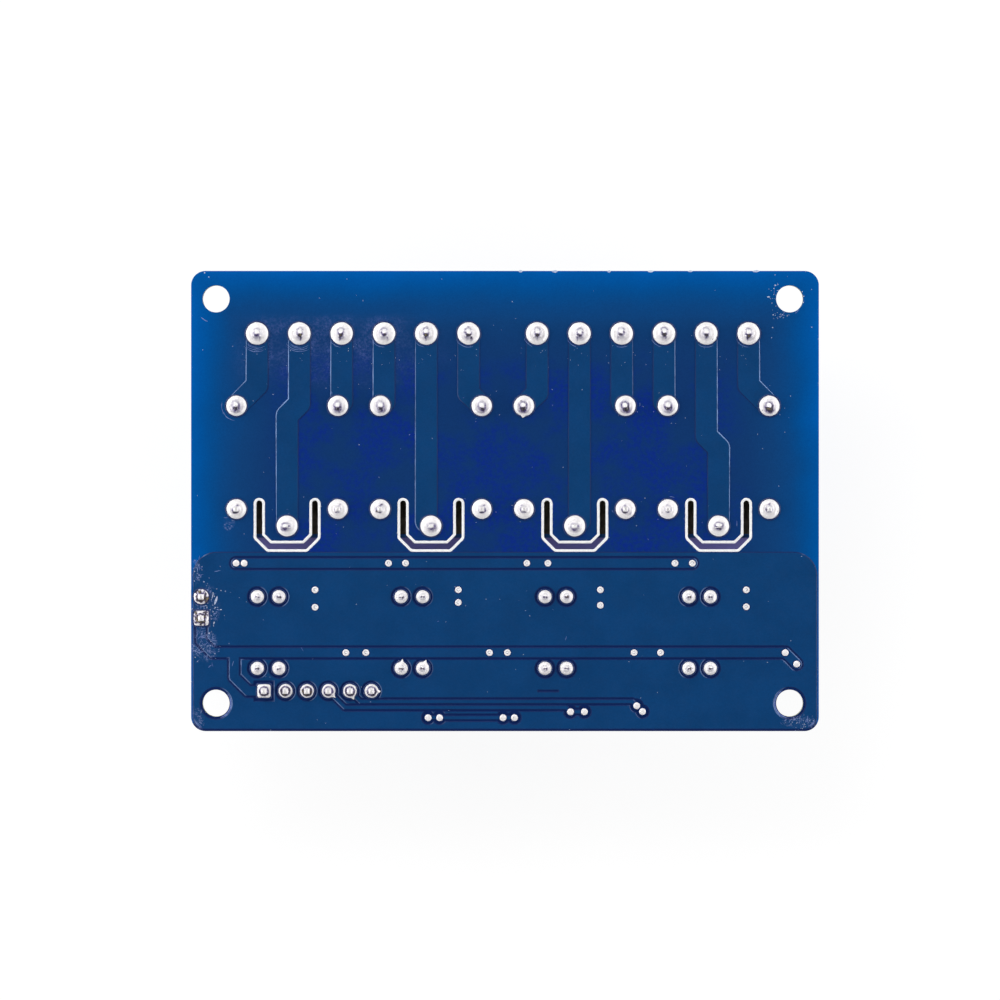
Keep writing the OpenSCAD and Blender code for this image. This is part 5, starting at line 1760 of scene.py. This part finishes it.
@dataclass(frozen=True)
class Studio:
    """A pale floor, side lamps, a dim sky overhead and a camera straight above.

    The floor has a painted shadow, darker and violet, within a rectangle under the middle of the board,
    which is seen through the slots.
    """

    board_top: float
    middle: tuple[float, float] = (-0.34 * MM, 0.12 * MM)
    distance: float = 0.9
    view_width: float = 118.2 * MM
    sensor: float = 36.0
    floor_half: float = 4.0
    floor_drop: float = 0.02 * MM
    # The middle and half widths of the rectangle of painted shadow
    painted_shadow_y: float = 3.8 * MM
    painted_shadow_half: tuple[float, float] = (29.8 * MM, 10.1 * MM)

    def build(self) -> None:
        """Builds all of it."""
        self.floor()
        self.sky()
        for lamp in LAMPS:
            self.lamp(*lamp)
        self.camera()

    def floor(self) -> None:
        """Lays the floor, which keeps the object's shadow, with a painted shadow under the middle of the
        board.
        """
        mesh = bmesh.new()
        bmesh.ops.create_grid(mesh, x_segments=1, y_segments=1, size=self.floor_half)
        obj = placed("floor", baked(mesh, "floor"))
        obj.location.z = -self.floor_drop
        t = Tree("floor")
        x, y, _ = t.axes()
        away = t.calc("MAXIMUM", t.less(t.calc("ABSOLUTE", x), self.painted_shadow_half[0]),
                      t.less(t.calc("ABSOLUTE", t.less(y, self.painted_shadow_y)), self.painted_shadow_half[1]))
        clear = t.spread(away, 0, 1 * MM)
        path = t.nodes.new("ShaderNodeLightPath").outputs
        seen = t.calc("MAXIMUM", path["Is Camera Ray"],
                      t.calc("MAXIMUM", path["Is Glossy Ray"], path["Is Transmission Ray"]))
        glow = t.nodes.new("ShaderNodeEmission")
        blend = t.nodes.new("ShaderNodeMixShader")
        t.feed(blend.inputs[0], t.times(seen, clear, 0.8))
        t.links.new(t.shader.outputs[0], blend.inputs[1])
        t.links.new(glow.outputs[0], blend.inputs[2])
        t.links.new(blend.outputs[0], t.output.inputs["Surface"])
        glow.inputs["Strength"].default_value = 1.08
        tone = t.mix(t.noise(40, 2), shade(238, 238, 238), shade(242, 242, 242))
        # Painted shadow: violet grey within the rectangle, where the floor does not glow for the camera
        tone = t.mix(clear, shade(142, 134, 192), tone)
        obj.data.materials.append(t.surface(Base_Color=tone, Roughness=0.9, Specular_IOR_Level=0.1))

    def sky(self) -> None:
        """Makes an even pale sky that falls off to a dim patch overhead."""
        world = bpy.data.worlds.new("studio")
        bpy.context.scene.world = world
        world.use_nodes = True
        nodes, links = world.node_tree.nodes, world.node_tree.links
        nodes.clear()
        place = nodes.new("ShaderNodeTexCoord")
        split = nodes.new("ShaderNodeSeparateXYZ")
        ramp = nodes.new("ShaderNodeMapRange")
        ramp.interpolation_type = "SMOOTHSTEP"
        back = nodes.new("ShaderNodeBackground")
        out = nodes.new("ShaderNodeOutputWorld")
        links.new(place.outputs["Generated"], split.inputs[0])
        links.new(split.outputs[2], ramp.inputs[0])
        for socket, value in zip(ramp.inputs[1:], SKY):
            socket.default_value = value
        links.new(ramp.outputs[0], back.inputs["Strength"])
        links.new(back.outputs[0], out.inputs["Surface"])
        back.inputs["Color"].default_value = (1, 1, 1, 1)

    def lamp(self, name: str, place: tuple[float, float, float], size: tuple[float, float],
             power: float) -> None:
        """Adds a soft box that faces the board.

        Args:
            name: Its name.
            place: Its middle in metres.
            size: Its length and height in metres.
            power: Its power in watts.
        """
        data = bpy.data.lights.new(name, "AREA")
        data.shape = "RECTANGLE"
        data.size, data.size_y = size
        data.energy = power
        obj = placed(name, data)
        obj.location = place
        aim = Vector((0, 0, self.board_top)) - Vector(place)
        obj.rotation_mode = "QUATERNION"
        obj.rotation_quaternion = aim.to_track_quat("-Z", "Y")

    def camera(self) -> None:
        """Sets the camera straight above the board."""
        data = bpy.data.cameras.new("camera")
        data.sensor_width = self.sensor
        data.lens = self.sensor * self.distance / self.view_width
        obj = placed("camera", data)
        obj.location = (*self.middle, self.board_top + self.distance)
        bpy.context.scene.camera = obj
        bpy.context.scene.view_settings.view_transform = "Standard"


# ---------------------------------------------------------------- the whole board


# Offset, height and unevenness of the rows of two strips, in millimetres: the flank of the coated copper
# down to its foot, and the torn rim of a slot from its wall out over the board
FLANK = [(-0.004, 0.002, 0), (0.02, -0.006, 0.006)]
SLOT_RIM = [(0.05, -0.22, 0.006), (0.045, -0.03, 0.012), (0.0, 0.016, 0.02), (-0.22, 0.02, 0.035),
            (-0.26, 0.0, 0.02)]


@dataclass
class Board:
    """The whole module: its frame nodes in their finishes, and the pieces that dress them."""

    made: dict[str, bpy.types.Material] = field(default_factory=dict)

    def finish(self, name: str) -> bpy.types.Material:
        """Finds a finish's material, and makes it when it is first asked for.

        Args:
            name: The finish's name.

        Returns:
            The material.
        """
        if name not in self.made:
            self.made[name] = FINISHES[name].build()
        return self.made[name]

    def dress(self) -> None:
        """Gives every node of the frame its finish."""
        for name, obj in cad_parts.items():
            start = max((k for k in NODE_FINISHES if name.startswith(k)), key=len)
            obj.data.materials.clear()
            obj.data.materials.append(self.finish(NODE_FINISHES[start]))

    def build(self) -> None:
        """Dresses the frame's nodes and builds the pieces."""
        low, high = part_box("board")
        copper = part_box("solder_side_copper")[1].z
        copper_t = (copper - high.z) / MM
        scuffs = self.scuffs(low, high)
        FINISHES["coated_laminate"] = CoatedLaminate((high.x - low.x) / 2, (high.x + low.x) / 2, high.y,
                                                     self.pour_top(copper), low.z, high.z - low.z, scuffs)
        FINISHES["coated_copper"] = CoatedCopper("coated_copper", (14, 62, 112), 0.34, 0.15, scuffs)
        # The copper's flanks: a darker copy of the coated copper as painted shade on the slopes, with
        # painted highlight lines
        FINISHES["copper_flank_shade_and_highlight"] = CoatedCopper("copper_flank_shade_and_highlight", (14, 40, 92), 0.45, 0.1, scuffs, True)
        for name in ("tinned_brass", "tinned_lead"):
            FINISHES[name] = replace(FINISHES[name], dipped=high.z)
        FINISHES["solder"] = Solder()
        FINISHES["enamelled_wire"] = Winding()
        self.dress()
        work = SolderWork(high.z, self.finish("solder"), self.finish("mask_and_shade_collar"))
        work.row("terminal_joints", Form.TERMINAL)
        work.row("relay_joints", Form.CONTACT)
        work.row("optocoupler_joints", Form.SMALL)
        work.row("header_joints", Form.PIN, {0: Form.JUMPER, 1: Form.SQUARE_JUMPER, 2: Form.SQUARE_PIN})
        work.beads("vias", 0.14, copper_t)
        Ribbon("copper_flanks", "coated_copper", self.finish("copper_flank_shade_and_highlight"), 0.4,
               [*FLANK, (0.11, 0.006 - copper_t, 0.015)],
               seed=2.0).build(top_rim("solder_side_copper", copper))
        rim = top_rim("board", high.z)
        Ribbon("slot_rims", "coated_laminate", self.finish("glass_fibre"), 0.1, SLOT_RIM,
               seed=5.0).build(rim, slot_edges(rim))
        Marks(high.z).build(self.finish("pale_dust"), self.finish("scuffed_mask_and_highlight"))
        ComponentSide(low.z).build(self.finish("printed_ink"), self.finish("solder"))

    @staticmethod
    def scuffs(low: Vector, high: Vector) -> tuple[Spot, ...]:
        """Finds the scuffed places: round the jumper, at the near corners and at the first coil joint.

        Args:
            low: The board's lowest corner.
            high: The board's highest corner.

        Returns:
            The places.
        """
        pins = islands("header_joints")
        jumper = middle((pins[0][0], pins[1][1]))
        return (Spot(jumper.x + 0.5 * MM, jumper.y, 1.9 * MM, 3.0 * MM, 0.85),
                Spot(jumper.x + 0.2 * MM, jumper.y - 4.5 * MM, 2.1 * MM, 2.2 * MM, 0.7),
                Spot(jumper.x - 0.7 * MM, jumper.y + 4.0 * MM, 0.8 * MM, 1.8 * MM, 0.7),
                Spot(high.x - 2.3 * MM, low.y + 1.1 * MM, 2.2 * MM, 0.8 * MM, 0.8),
                Spot(low.x + 0.7 * MM, low.y + 1.4 * MM, 1.0 * MM, 1.8 * MM, 0.5),
                Spot(low.x + 4.5 * MM, high.y - 29.9 * MM, 0.8 * MM, 0.9 * MM, 0.5))

    @staticmethod
    def pour_top(level: float) -> float:
        """The upper edge of the ground area, found along the board's middle.

        Args:
            level: Height of the coated copper.

        Returns:
            Its y, in metres.
        """
        copper = tree_of("solder_side_copper")
        y = 0.0
        while copper.ray_cast(Vector((0, y, level + MM)), DOWN, 2 * MM)[0] is None and y > -20 * MM:
            y -= 0.1 * MM
        return y


def main() -> None:
    """Builds the board and the studio round it."""
    Board().build()
    Studio(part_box("board")[1].z).build()


if __name__ == "__main__":
    logging.basicConfig(level=logging.INFO, stream=sys.stdout, format="%(name)s: %(message)s")
    main()
